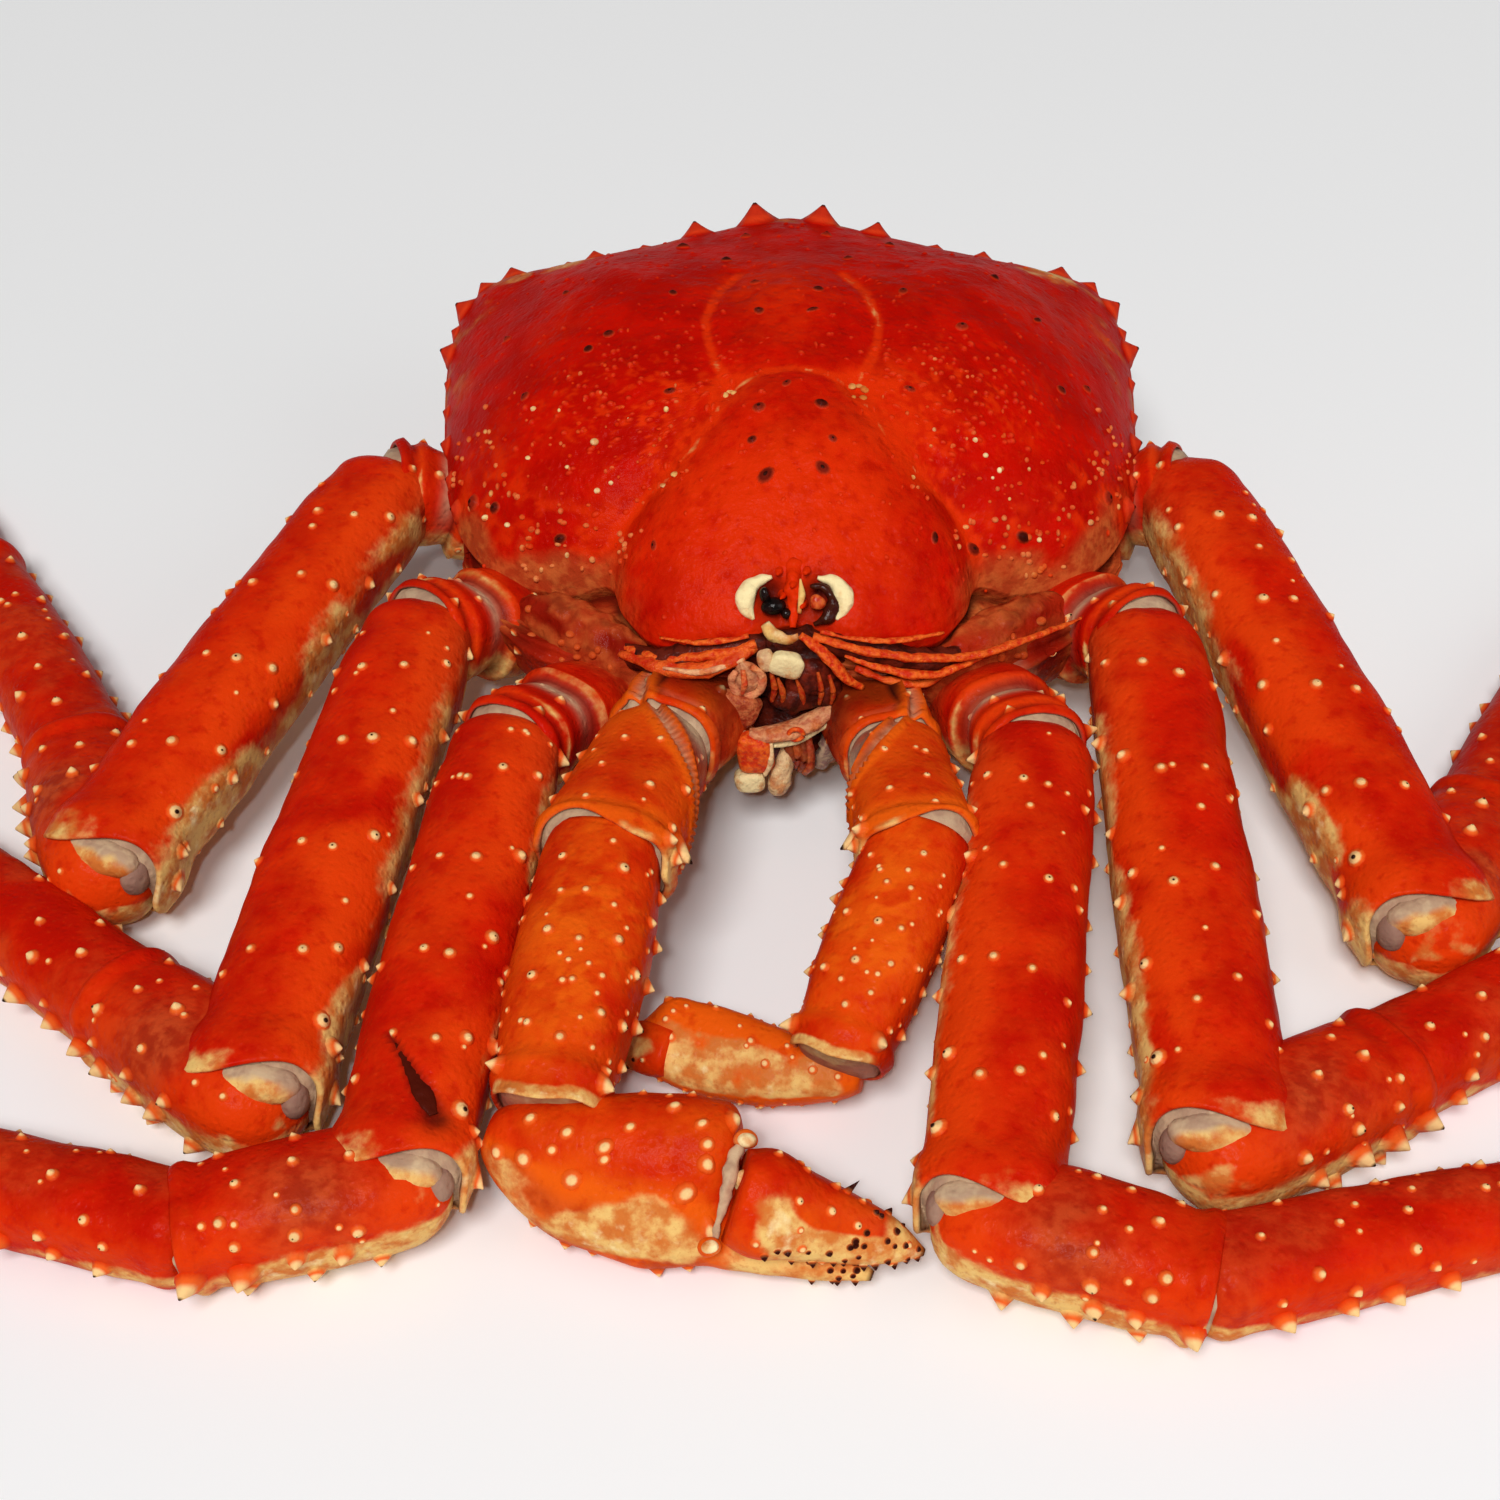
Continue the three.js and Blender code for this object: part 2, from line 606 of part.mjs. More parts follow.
function buildAbdomen(grow = 0) {
  const curve = new THREE.CatmullRomCurve3(ABDOMEN_RUN.map(([y, z]) => vec([0, y, z])));
  const rings = ABDOMEN_RUN.map(([, , halfWidth], i) => {
    const t = i / (ABDOMEN_RUN.length - 1);
    const out = ACROSS.clone().cross(curve.getTangent(t)).normalize();
    return turns(ABDOMEN_SIDES).map((angle) =>
      curve
        .getPoint(t)
        .addScaledVector(ACROSS, Math.cos(angle) * (halfWidth + grow))
        .addScaledVector(out, Math.sin(angle) * (ABDOMEN_HALF_THICKNESS + grow)),
    );
  });
  const [first, last] = [0, 1].map((t) =>
    curve.getPoint(t).addScaledVector(curve.getTangent(t), (t ? 1 : -1) * (grow + END_DOME)),
  );
  return solidOf(closedRings(rings, first, last));
}

// A round feeler or mouth limb that follows its run of points, tapering to its tip.
function feeler({ run, radius, tip }, grow = 0) {
  const curve = new THREE.CatmullRomCurve3(run.map(vec));
  const rings = Array.from({ length: FEELER_STEPS + 1 }, (_, i) => {
    const t = i / FEELER_STEPS;
    const along = curve.getTangent(t);
    const across = along.clone().cross(UP).normalize();
    const top = across.clone().cross(along);
    const r = radius * (1 - (1 - tip) * t) + grow;
    return turns(FEELER_SIDES).map((angle) =>
      curve
        .getPoint(t)
        .addScaledVector(across, Math.cos(angle) * r)
        .addScaledVector(top, Math.sin(angle) * r),
    );
  });
  return solidOf(closedRings(rings, curve.getPoint(0), curve.getPoint(1)));
}

// ---------------------------------------------------------------- the whole crab

const NODE_NAMES = {
  clawCoxa: "claw_coxa",
  clawMerus: "claw_merus",
  clawCarpus: "claw_carpus",
  clawPalm: "claw_palm",
  clawFinger: "claw_finger",
};
const TABLE_SIZE = 2000;
const tableBox = new THREE.BoxGeometry(TABLE_SIZE, TABLE_SIZE, TABLE_SIZE);
const table = solidOf(tableBox.translate(0, 0, -TABLE_SIZE / 2));

const chains = [
  ...Object.keys(LEGS).map((name, i) => ({ name, parts: legChain(name, i), colour: COLOURS.leg })),
  ...Object.keys(CLAWS).map((name, i) => ({ name, parts: clawChain(name, i), colour: COLOURS.claw })),
];
const segments = chains.flatMap(({ name, parts, colour }) =>
  parts.map((part, i) => ({
    name: (NODE_NAMES[part.kind] ?? part.kind) + "_" + name,
    rooted: i === 0,
    part,
    colour,
    body: bodyOf(part),
    grown: bodyOf(part, GAP),
  })),
);

const eyes = [1, -1].map((side) => {
  const place = [EYE.place[0] * side, EYE.place[1], EYE.place[2]];
  return { name: side > 0 ? "eye_left" : "eye_right", place };
});
const grownEyes = joined(eyes.map(({ place }) => ellipsoid(place, EYE.radii, GAP)));
const grownFeelers = Object.values(FEELERS).map((one) => feeler(one, GAP));
const grownMouth = ellipsoid(MOUTH.place, MOUTH.radii, GAP);
const grownShell = shellBody(GAP);
const grownAbdomen = buildAbdomen(GAP);

const crab = new THREE.Group();

// Adds a piece, cut off level at the table, without any loose scrap that cutting left.
function place(name, solid, colour) {
  const scraps = solid.subtract(table).decompose();
  const body = scraps.reduce((a, b) => (a.volume() > b.volume() ? a : b));
  const material = new THREE.MeshStandardMaterial({ color: colour, roughness: 0.4, metalness: 0 });
  const mesh = new THREE.Mesh(geometryOf(body), material);
  mesh.name = name;
  crab.add(mesh);
}

const isClear = (thorn, owner) => segments.every((one) => one === owner || !touches(thorn, one.grown));
const clearOf = (solid, other) => (touches(solid, other) ? solid.subtract(other) : solid);
const cutClear = (solid, others) => others.reduce(clearOf, solid);

// The shell gives way to the eyes and leaves out any spine that would reach a limb.
const shellThorns = shellSpines().filter((thorn) => isClear(thorn));
place("carapace", joined([shellBody(), buildRostrum(), ...shellThorns]).subtract(grownEyes), COLOURS.shell);

// The body gives way to the shell, to the abdomen, to the mouth and to whatever is rooted in it.
const roots = segments.filter(({ rooted }) => rooted).map(({ grown }) => grown);
const face = [grownMouth, ...grownFeelers];
place("thorax", cutClear(buildBody(), [...roots, grownShell, grownAbdomen, ...face]), COLOURS.body);
place("abdomen", cutClear(buildAbdomen(), [grownShell]), COLOURS.body);
place("mouth", cutClear(ellipsoid(MOUTH.place, MOUTH.radii), grownFeelers), COLOURS.mouth);

// Each segment gives way to every later one that it would touch, and the coxae also to the shell and face.
segments.forEach((one, n) => {
  const thorns = spinesOf(one.part).filter((thorn) => isClear(thorn, one));
  const later = segments.slice(n + 1).map(({ grown }) => grown);
  const others = one.rooted ? [...later, grownShell, ...face] : later;
  place(one.name, cutClear(joined([one.body, ...thorns]), others), one.colour);
});

eyes.forEach(({ name, place: where }) => place(name, ellipsoid(where, EYE.radii), COLOURS.eye));
Object.entries(FEELERS).forEach(([name, one]) => place(name, feeler(one), COLOURS.feeler));

const box = new THREE.Box3().setFromObject(crab);
const middle = box.getCenter(new THREE.Vector3());
crab.position.set(-middle.x, -middle.y, -box.min.z);

export default crab;
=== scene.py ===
"""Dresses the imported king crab: every piece of its shell as a fine mesh with a wet, mottled material.

The shapes below are in millimetres in the crab's body frame: x = 0 is its midline, y = 0 the middle of its
shell, z = 0 the table, and it faces -y. Its own right side is at -x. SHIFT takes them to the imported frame.
"""
import math

import bpy
import numpy as np
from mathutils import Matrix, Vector


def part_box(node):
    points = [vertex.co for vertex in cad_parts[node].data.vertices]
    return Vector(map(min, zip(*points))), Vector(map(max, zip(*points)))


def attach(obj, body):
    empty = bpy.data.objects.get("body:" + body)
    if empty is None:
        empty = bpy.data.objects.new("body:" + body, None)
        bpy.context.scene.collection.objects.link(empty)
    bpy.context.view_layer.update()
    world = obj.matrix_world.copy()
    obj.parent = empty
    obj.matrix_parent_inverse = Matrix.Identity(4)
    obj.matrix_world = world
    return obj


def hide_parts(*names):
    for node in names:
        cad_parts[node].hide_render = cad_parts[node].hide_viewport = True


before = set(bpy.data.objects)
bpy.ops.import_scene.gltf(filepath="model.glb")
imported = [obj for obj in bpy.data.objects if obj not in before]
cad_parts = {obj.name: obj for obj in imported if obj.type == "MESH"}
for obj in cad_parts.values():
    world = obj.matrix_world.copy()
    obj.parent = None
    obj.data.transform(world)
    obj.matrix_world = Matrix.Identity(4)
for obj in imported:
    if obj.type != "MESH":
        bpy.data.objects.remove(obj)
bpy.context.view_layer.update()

# ---------------------------------------------------------------- measures

MM = 0.001
UP = np.array([0.0, 0.0, 1.0])
STEP = 1.3  # width of a mesh face on the limbs

EYE = (6.6, -77.6, 69)
SHIFT = np.mean(np.array([list(corner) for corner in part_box("eye_left")]), axis=0) / MM - np.array(EYE)

# The shell's margin, one half, from the root of the rostrum round to the middle of the back.
MARGIN = [
    (0, -79, 63), (14, -83, 60.5), (28, -82, 58), (40, -78, 56), (49, -65, 56), (54, -50, 55), (68, -47, 50),
    (90, -35, 50), (103, -10, 53), (109, 40, 57), (109, 74, 62), (101, 93, 68), (82, 97, 73), (55, 94, 82),
    (30, 98, 87), (0, 105, 90),
]
SHELL_CENTRE_Y = 12  # the shell spreads out from this place on the midline
SHELL_TOP = 104  # height of the crown, which is highest at CROWN_Y
CROWN_Y = 28
FRONT_DROP, BACK_DROP = 17, 8  # how far the crown falls towards the front and the back
SHELL_BULGE = (2.4, 0.6)  # powers of the curve from the crown down to the margin
RIM_DEPTH = 7
SHELL_UNDER = 50  # height of the middle of the shell's underside

# Swellings of the shell: x, y, radius across, radius along, height. Those off the midline are mirrored.
LOBES = [
    (0, -38, 26, 32, 5), (0, 30, 19, 24, 3), (58, 30, 34, 44, 3), (40, -60, 15, 14, 3), (92, 72, 26, 34, -8),
]

# The body under the shell: its outline at the height of the limbs, and rings below it: share of it, height.
CHEEK = [
    (0, -80, 40), (24, -82, 40), (48, -80, 42), (68, -73, 44), (84, -60, 46), (95, -36, 44), (99, -8, 40),
    (99, 24, 43), (96, 54, 48), (84, 78, 54), (48, 100, 60), (0, 106, 62),
]
BELLY = [(0.92, 24), (0.68, 9), (0.3, 8)]

# The folded abdomen, from the back edge of the shell to its tip: y, z and half width of its middle line.
ABDOMEN_RUN = [
    (97, 73, 38), (111, 65, 44), (115, 47, 46), (107, 26, 46), (87, 10, 43), (56, 4, 37), (24, 3.6, 29),
    (-8, 3.6, 20), (-30, 3.6, 9),
]
ABDOMEN_HALF_THICKNESS = 4

# Half width and half depth of each kind of segment, and how they vary along it: place, width, depth and,
# where it isn't 0, how far the middle line moves to the outer side.
HALF = {
    "coxa": (14, 13), "merus": (15.4, 14), "carpus": (14.6, 14.2), "propodus": (12.8, 12.4),
    "dactylus": (7.6, 7.4), "claw_coxa": (17, 14), "claw_merus": (17.5, 15), "claw_carpus": (16.6, 15),
    "claw_palm": (22, 14), "claw_finger": (15, 11),
}
PROFILE = {
    "coxa": [(0, 0.9, 0.9), (0.3, 1, 1), (0.54, 1.03, 1.02), (0.62, 0.88, 0.88), (0.72, 0.95, 0.93),
        (0.86, 1.02, 0.99), (1, 1, 0.96)],
    "merus": [(0, 0.6, 0.6), (0.03, 0.84, 0.83), (0.1, 0.97, 0.96), (0.3, 1.02, 1.01), (0.7, 1.08, 1.06),
        (0.92, 1.07, 1.05), (1, 1.1, 1.08)],
    "carpus": [(0, 0.2, 0.2), (0.02, 0.44, 0.44), (0.06, 0.68, 0.68), (0.13, 0.87, 0.88), (0.24, 0.98, 0.98),
        (0.5, 1.06, 1.04), (0.8, 1.03, 1), (1, 0.97, 0.95)],
    "propodus": [(0, 0.9, 0.9), (0.03, 1.03, 1.02), (0.1, 1.03, 1.01), (0.3, 1.02, 1), (0.65, 0.93, 0.94),
        (1, 0.78, 0.8)],
    "dactylus": [(0, 0.7, 0.7), (0.1, 0.94, 0.94), (0.2, 0.98, 0.98), (0.45, 0.74, 0.76), (0.75, 0.44, 0.47),
        (0.95, 0.2, 0.22), (1, 0.06, 0.08)],
    "claw_coxa": [(0, 0.85, 0.9), (0.35, 1, 1), (0.7, 1.02, 1), (1, 0.94, 0.92)],
    "claw_merus": [(0, 0.62, 0.66), (0.12, 0.86, 0.9), (0.45, 1, 1), (0.82, 1.06, 1.04), (1, 1.08, 1.03)],
    "claw_carpus": [(0, 0.88, 0.88), (0.05, 0.94, 0.94), (0.14, 0.98, 0.98), (0.45, 1.05, 1.03),
        (0.8, 0.98, 1), (1, 0.87, 0.92)],
    "claw_palm": [(0, 0.26, 0.5), (0.03, 0.4, 0.7), (0.084, 0.56, 0.85), (0.21, 0.8, 0.97),
        (0.363, 0.96, 1, -0.11), (0.475, 0.98, 0.98, -0.2), (0.57, 0.86, 0.88, -0.25),
        (0.62, 0.58, 0.72, -0.06), (0.68, 0.38, 0.56, 0.1), (0.77, 0.28, 0.44, 0.1), (0.9, 0.19, 0.3, 0.04),
        (1, 0.05, 0.08)],
    "claw_finger": [(0, 0.78, 0.9), (0.1, 0.88, 0.98), (0.38, 0.68, 0.8), (0.6, 0.55, 0.66),
        (0.88, 0.3, 0.36), (1, 0.08, 0.1)],
}

# Spines in rows: angle from the outer side (90 is up), first and last place, how many, height.
SPINE_ROWS = {
    "coxa": [(40, 0.66, 0.9, 2, 1.8), (110, 0.64, 0.92, 2, 1.8)],
    "merus": [(-6, 0.06, 0.9, 8, 2.2), (40, 0.1, 0.86, 4, 1.5), (72, 0.2, 0.9, 4, 1.6),
        (104, 0.08, 0.8, 4, 1.8), (136, 0.16, 0.86, 4, 2.2), (162, 0.22, 0.93, 5, 2.8),
        (196, 0.2, 0.9, 5, 1.6)],
    "carpus": [(12, 0.36, 0.9, 3, 2.2), (56, 0.4, 0.84, 2, 1.5), (96, 0.36, 0.88, 3, 1.8),
        (132, 0.44, 0.84, 2, 1.7), (158, 0.36, 0.92, 3, 2.4), (186, 0.34, 0.97, 4, 4.6),
        (212, 0.3, 0.92, 3, 3.4)],
    "propodus": [(10, 0.08, 0.92, 7, 2.4), (52, 0.1, 0.86, 4, 1.5), (96, 0.12, 0.88, 5, 1.6),
        (136, 0.1, 0.88, 4, 1.8), (164, 0.14, 0.9, 5, 1.9), (190, 0.08, 0.93, 7, 3.6)],
    "dactylus": [(60, 0.12, 0.5, 3, 1.2), (120, 0.12, 0.5, 3, 1.2), (186, 0.1, 0.5, 3, 1.5)],
    "claw_coxa": [(60, 0.4, 0.9, 2, 1.8), (120, 0.4, 0.9, 2, 1.8)],
    "claw_merus": [(24, 0.4, 0.92, 3, 2.4), (70, 0.3, 0.9, 3, 1.4), (112, 0.4, 0.92, 2, 1.6),
        (150, 0.5, 0.86, 2, 2.4)],
    "claw_carpus": [(-4, 0.16, 0.92, 5, 2.4), (34, 0.2, 0.88, 3, 1.6), (66, 0.16, 0.9, 5, 1.6),
        (94, 0.24, 0.86, 4, 1.8), (124, 0.2, 0.88, 3, 1.8), (154, 0.24, 0.94, 4, 2.2),
        (184, 0.2, 0.95, 5, 3.4)],
    "claw_palm": [(-24, 0.08, 0.6, 8, 1.6), (8, 0.14, 0.56, 6, 1.8), (36, 0.16, 0.5, 3, 1.6),
        (176, 0.1, 0.44, 4, 1.8)],
    "claw_finger": [(60, 0.14, 0.5, 2, 1.4), (110, 0.2, 0.6, 3, 1.4), (160, 0.14, 0.7, 4, 1.4)],
}
# Small round knobs strewn between the spines.
KNOBS = {
    "coxa": 3, "merus": 20, "carpus": 14, "propodus": 16, "dactylus": 3, "claw_coxa": 4, "claw_merus": 14,
    "claw_carpus": 40, "claw_palm": 26, "claw_finger": 6,
}

# Big spines by the joints: place, angle, height, radius, lean and stain.
SPIKES = {
    "coxa": [(0.94, 10, 5, 3.6, 1.2, 0.6), (0.94, 172, 5, 3.6, 1.2, 0.6), (0.5, 20, 4, 3.4, 1.2, 0.6)],
    "merus": [(0.97, 16, 4.4, 3.2, 1.4, 0.3), (0.975, 186, 4.6, 4.2, 1.2, 0.2), (0.93, 170, 2.2, 2.6, 0.4, 0),
        (0.9, 140, 3, 3.2, 0.3, 1)],
    "claw_merus": [(0.88, 172, 8, 4.6, 0.7, 0.8), (0.965, 148, 3.6, 3.4, 0.8, 0),
        (0.97, 168, 3.2, 3.2, 0.9, 0)],
    "claw_carpus": [(0.97, 150, 4.5, 3.8, 0.6, 0.4), (0.96, 40, 4, 3.4, 0.6, 0)],
}
FINGER_BRISTLE = (0.52, 166, 4.5, 1.3, 0.3, 2)  # on the right claw alone

POINTED = ("dactylus", "claw_palm", "claw_finger")  # the kinds that end in a point, not in a knee
BIG_PALM = 0.6  # a palm of this size or more is coloured like the crab's right one

# Bumps of the palm's broad side: place, angle and height.
PALM_BUMPS = [
    (0.42, 150, 2), (0.56, 158, 3), (0.6, 74, 3.2), (0.3, 112, 2.4), (0.2, 120, 1.8), (0.12, 88, 2.6),
    (0.25, 86, 2.8), (0.52, 90, 3.2), (0.545, 112, 2.4), (0.53, 124, 1.8), (0.34, 128, 1.4), (0.1, 128, 1.8),
    (0.31, 104, 1.4), (0.05, 80, 2.2), (0.5, 138, 1.6), (0.18, 104, 1.3),
]

# Places on each leg's middle line, the way its last two segments point in degrees, and how thick it is.
LEGS = {
    "front_right": dict(hip=(-50, -66, 28), root=(-79, -106, 45), knee=(-98, -239), wrist=(-150, -256),
        heading=163, girth=1.04),
    "middle_right": dict(hip=(-74, -30, 28), root=(-107, -57, 47), knee=(-137, -211), wrist=(-178, -180),
        heading=138, girth=1.12),
    "rear_right": dict(hip=(-80, 14, 32), root=(-122, 13, 49), knee=(-188, -127), wrist=(-208, -79),
        heading=118, girth=1.12),
    "front_left": dict(hip=(50, -66, 28), root=(67, -109, 45), knee=(46, -250), wrist=(97, -271),
        heading=16, girth=1.06),
    "middle_left": dict(hip=(74, -30, 28), root=(101, -61, 47), knee=(104, -228), wrist=(151, -204),
        heading=33, girth=1.12),
    "rear_left": dict(hip=(80, 14, 32), root=(120, 13, 49), knee=(168, -150), wrist=(197, -107),
        heading=61, girth=1.12),
}
KNEE_HEIGHT, WRIST_HEIGHT, ANKLE_HEIGHT, TIP_HEIGHT = 20, 13.2, 9.2, 3.2
PROPODUS_LENGTH, DACTYLUS_LENGTH, DACTYLUS_TURN = 114, 62, 8
MERUS_OVERHANG, CARPUS_OUTSET, CARPUS_BULB, CARPUS_DROP = 5, 7, 14, 3
JOINT_OVERLAP, COXA_OVERLAP = 4, 5
ARCH = {"coxa": 2, "merus": 5, "carpus": 2, "propodus": 1.5, "dactylus": 5}

# Places on each claw's middle line, its size and its hand's size, and how far the hand rolls in degrees.
CLAWS = {
    "right": dict(hip=(-22, -68, 33), root=(-36, -102, 42), elbow=(-51, -158, 46), wrist=(-62, -229, 30),
                  palm=(-76.5, -232, 22), pollex=(17, -265, 7), hinge=(-16, -256, 26), tip=(29.5, -261, 11),
                  size=1, palm_size=1, roll=50),
    "left": dict(hip=(18, -68, 33), root=(26, -106, 42), elbow=(32, -154, 45), wrist=(10, -207, 24),
                 palm=(16, -207, 14), pollex=(-76, -183, 7), hinge=(-33, -197, 13), tip=(-68, -181, 9),
                 size=0.86, palm_size=0.54, roll=35),
}

# ---------------------------------------------------------------- small maths


def vec(p):
    return np.array(p, float)


def unit(v):
    return v / np.maximum(np.linalg.norm(v, axis=-1, keepdims=True), 1e-9)


def rise(low, high, x):
    """0 on low's side, 1 on high's side, and a smooth step between them."""
    k = np.clip((x - low) / (high - low), 0, 1)
    return k * k * (3 - 2 * k)


def hump(x, centre, width):
    return np.exp(-(((x - centre) / width) ** 2))


def signed(degrees):
    """The same angle, from -90 to 270."""
    return (degrees + 90) % 360 - 90


def hump_round(angle, centre, width):
    """A hump on a circle: all in degrees."""
    return hump((angle - centre + 180) % 360 - 180, 0, width)


def noise(p, size, seed=0):
    """Smooth repeatable noise from -1 to 1 at points p, in lumps about size across."""
    q = p / size + 17.3 * (seed % 97)
    cell = np.floor(q).astype(np.int64)
    f = q - cell
    f = f * f * (3 - 2 * f)
    total = np.zeros(q.shape[:-1])
    for corner in np.ndindex(2, 2, 2):
        at = cell + np.array(corner)
        h = (at[..., 0] * 73856093) ^ (at[..., 1] * 19349663) ^ (at[..., 2] * 83492791)
        h = ((h ^ (h >> 13)) * 1274126177) & 0xFFFFFF
        h = ((h ^ (h >> 11)) * 668265263) & 0xFFFFFF
        weight = np.prod(np.where(np.array(corner) == 1, f, 1 - f), axis=-1)
        total += weight * h
    return total / 0x7FFFFF - 1


def rough(p, size, seed):
    """Noise in lumps of size and of half that size."""
    return noise(p, size, seed) + 0.5 * noise(p, size / 2.1, seed + 1)


def along_rows(rows, t):
    """The columns of rows at places t, on a smooth curve. The first column is the place."""
    rows = vec(rows)
    x, y = rows[:, 0], rows[:, 1:]
    slope = np.gradient(y, x, axis=0)
    i = np.clip(np.searchsorted(x, t) - 1, 0, len(x) - 2)
    h = (x[i + 1] - x[i])[..., None]
    k = np.clip((t - x[i])[..., None] / h, 0, 1)
    a = y[i] * (2 * k**3 - 3 * k**2 + 1) + slope[i] * h * (k**3 - 2 * k**2 + k)
    return a + y[i + 1] * (3 * k**2 - 2 * k**3) + slope[i + 1] * h * (k**3 - k**2)


def turns(count):
    """Even angles round a circle, in radians."""
    return 2 * math.pi * np.arange(count) / count


def closed_curve(half, count=1440):
    """Even points on the smooth closed outline that one half of it and its mirror image give."""
    half = vec(half)
    points = np.concatenate([half, half[-2:0:-1] * [-1, 1, 1]])
    n = len(points)
    fine = 40  # steps from each point to the next
    t = np.arange(n * fine) / fine
    i, k = t.astype(int), (t % 1)[:, None]
    p0, p1, p2, p3 = (points[(i + d) % n] for d in (-1, 0, 1, 2))
    curve = 0.5 * (2 * p1 + (p2 - p0) * k + (2 * p0 - 5 * p1 + 4 * p2 - p3) * k**2
                   + (3 * p1 - p0 - 3 * p2 + p3) * k**3)
    steps = np.linalg.norm(np.roll(curve, -1, 0) - curve, axis=1)
    run = np.concatenate([[0], np.cumsum(steps)])
    at = np.linspace(0, run[-1], count, endpoint=False)
    around = np.concatenate([curve, curve[:1]])
    return np.stack([np.interp(at, run, around[:, c]) for c in range(3)], -1)


def on_closed(points, s):
    """The point of an even closed outline at share s of the way round."""
    q = (s % 1) * len(points)
    i = q.astype(int)
    k = (q - i)[..., None]
    return points[i % len(points)] * (1 - k) + points[(i + 1) % len(points)] * k


# ---------------------------------------------------------------- meshes

# What the materials paint from, each 0 to 1: spine points, cream (also a few painted highlights), soft skin,
# dark places (dark marks, and painted shade in creases, hollows and crevices), orange places, and dull places
# (wear, and in places painted shade).
LAYERS = ("tip", "pale", "skin", "dark", "warm", "dull")


def wrapped(rows, cols):
    """The corners of the faces of a sleeve of rows x cols points that closes on itself."""
    i, j = (x.ravel() for x in np.meshgrid(np.arange(rows - 1), np.arange(cols), indexing="ij"))
    k = (j + 1) % cols
    return np.stack([i * cols + j, i * cols + k, (i + 1) * cols + k, (i + 1) * cols + j], -1)


class Pot:
    """Gathers the points, faces and colour layers of one piece."""

    def __init__(self):
        self.points, self.quads, self.tris, self.count = [], [], [], 0
        self.layers = {name: [] for name in LAYERS}

    def sleeves(self, points, layers, start=False, end=False):
        """Adds n sleeves of rows x cols points, each closed by a fan where start or end says so."""
        if points.ndim == 3:
            points = points[None]
        n, rows, cols = points.shape[:3]
        size = rows * cols
        quads = wrapped(rows, cols)
        ring, following = np.arange(cols), (np.arange(cols) + 1) % cols
        tris, ends = [], []
        if start:
            tris.append(np.stack([following, ring, np.full(cols, size)], -1))
            ends.append(0)
        if end:
            last = (rows - 1) * cols
            tris.append(np.stack([last + ring, last + following, np.full(cols, size + len(ends))], -1))
            ends.append(rows - 1)
        tris = np.concatenate(tris) if tris else np.zeros((0, 3), int)
        flat = points[0].reshape(-1, 3)
        corners = flat[quads]
        normal = np.cross(corners[:, 2] - corners[:, 0], corners[:, 3] - corners[:, 1])
        middle = np.repeat(points[0].mean(1)[:-1] + points[0].mean(1)[1:], cols, 0) / 2
        if (normal * (corners.mean(1) - middle)).sum() < 0:
            quads, tris = quads[:, ::-1], tris[:, ::-1]
        hubs = [points[:, row].mean(1, keepdims=True) for row in ends]
        block = np.concatenate([points.reshape(n, size, 3), *hubs], 1)
        each = block.shape[1]
        offset = self.count + each * np.arange(n)[:, None, None]
        self.points.append(block.reshape(-1, 3))
        self.quads.append((quads + offset).reshape(-1, 4))
        self.tris.append((tris + offset).reshape(-1, 3))
        for name in LAYERS:
            value = np.broadcast_to(layers.get(name, 0.0), points.shape[:3])
            hub = [value[:, row].mean(1, keepdims=True) for row in ends]
            self.layers[name].append(np.concatenate([value.reshape(n, size), *hub], 1).ravel())
        self.count += n * each

    def piece(self, name, material, slot, *nodes):
        """Makes the piece, which rides on the crab's one body and stands for the CAD nodes."""
        mesh = bpy.data.meshes.new(name)
        points = (np.concatenate(self.points) + SHIFT) * MM
        points[:, 2] = np.maximum(points[:, 2], 0)
        quads, tris = np.concatenate(self.quads), np.concatenate(self.tris)
        totals = np.concatenate([np.full(len(quads), 4), np.full(len(tris), 3)])
        loops = np.concatenate([quads.ravel(), tris.ravel()])
        mesh.vertices.add(len(points))
        mesh.vertices.foreach_set("co", points.ravel())
        mesh.loops.add(len(loops))
        mesh.loops.foreach_set("vertex_index", loops)
        mesh.polygons.add(len(totals))
        mesh.polygons.foreach_set("loop_start", np.concatenate([[0], np.cumsum(totals)[:-1]]))
        mesh.polygons.foreach_set("use_smooth", np.ones(len(totals), bool))
        mesh.update(calc_edges=True)
        for layer, values in self.layers.items():
            data = mesh.attributes.new(layer, "FLOAT", "POINT").data
            data.foreach_set("value", np.concatenate(values).astype(np.float32))
        mesh.materials.append(material)
        made = bpy.data.objects.new(name, mesh)
        bpy.context.scene.collection.objects.link(made)
        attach(made, "root")
        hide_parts(*nodes)
        return made


CONE_SIDES, ROD_SIDES = 10, 16
CONE_RINGS = np.array([1, 0.86, 0.7, 0.52, 0.34, 0.18, 0.06])  # radius of each ring of a spine, as a share
SPINE_POWER, KNOB_POWER = 1.35, 1.4  # of the curves from foot to point
FOOT_DEPTH = 0.25  # how far the foot of a spine sinks into the skin


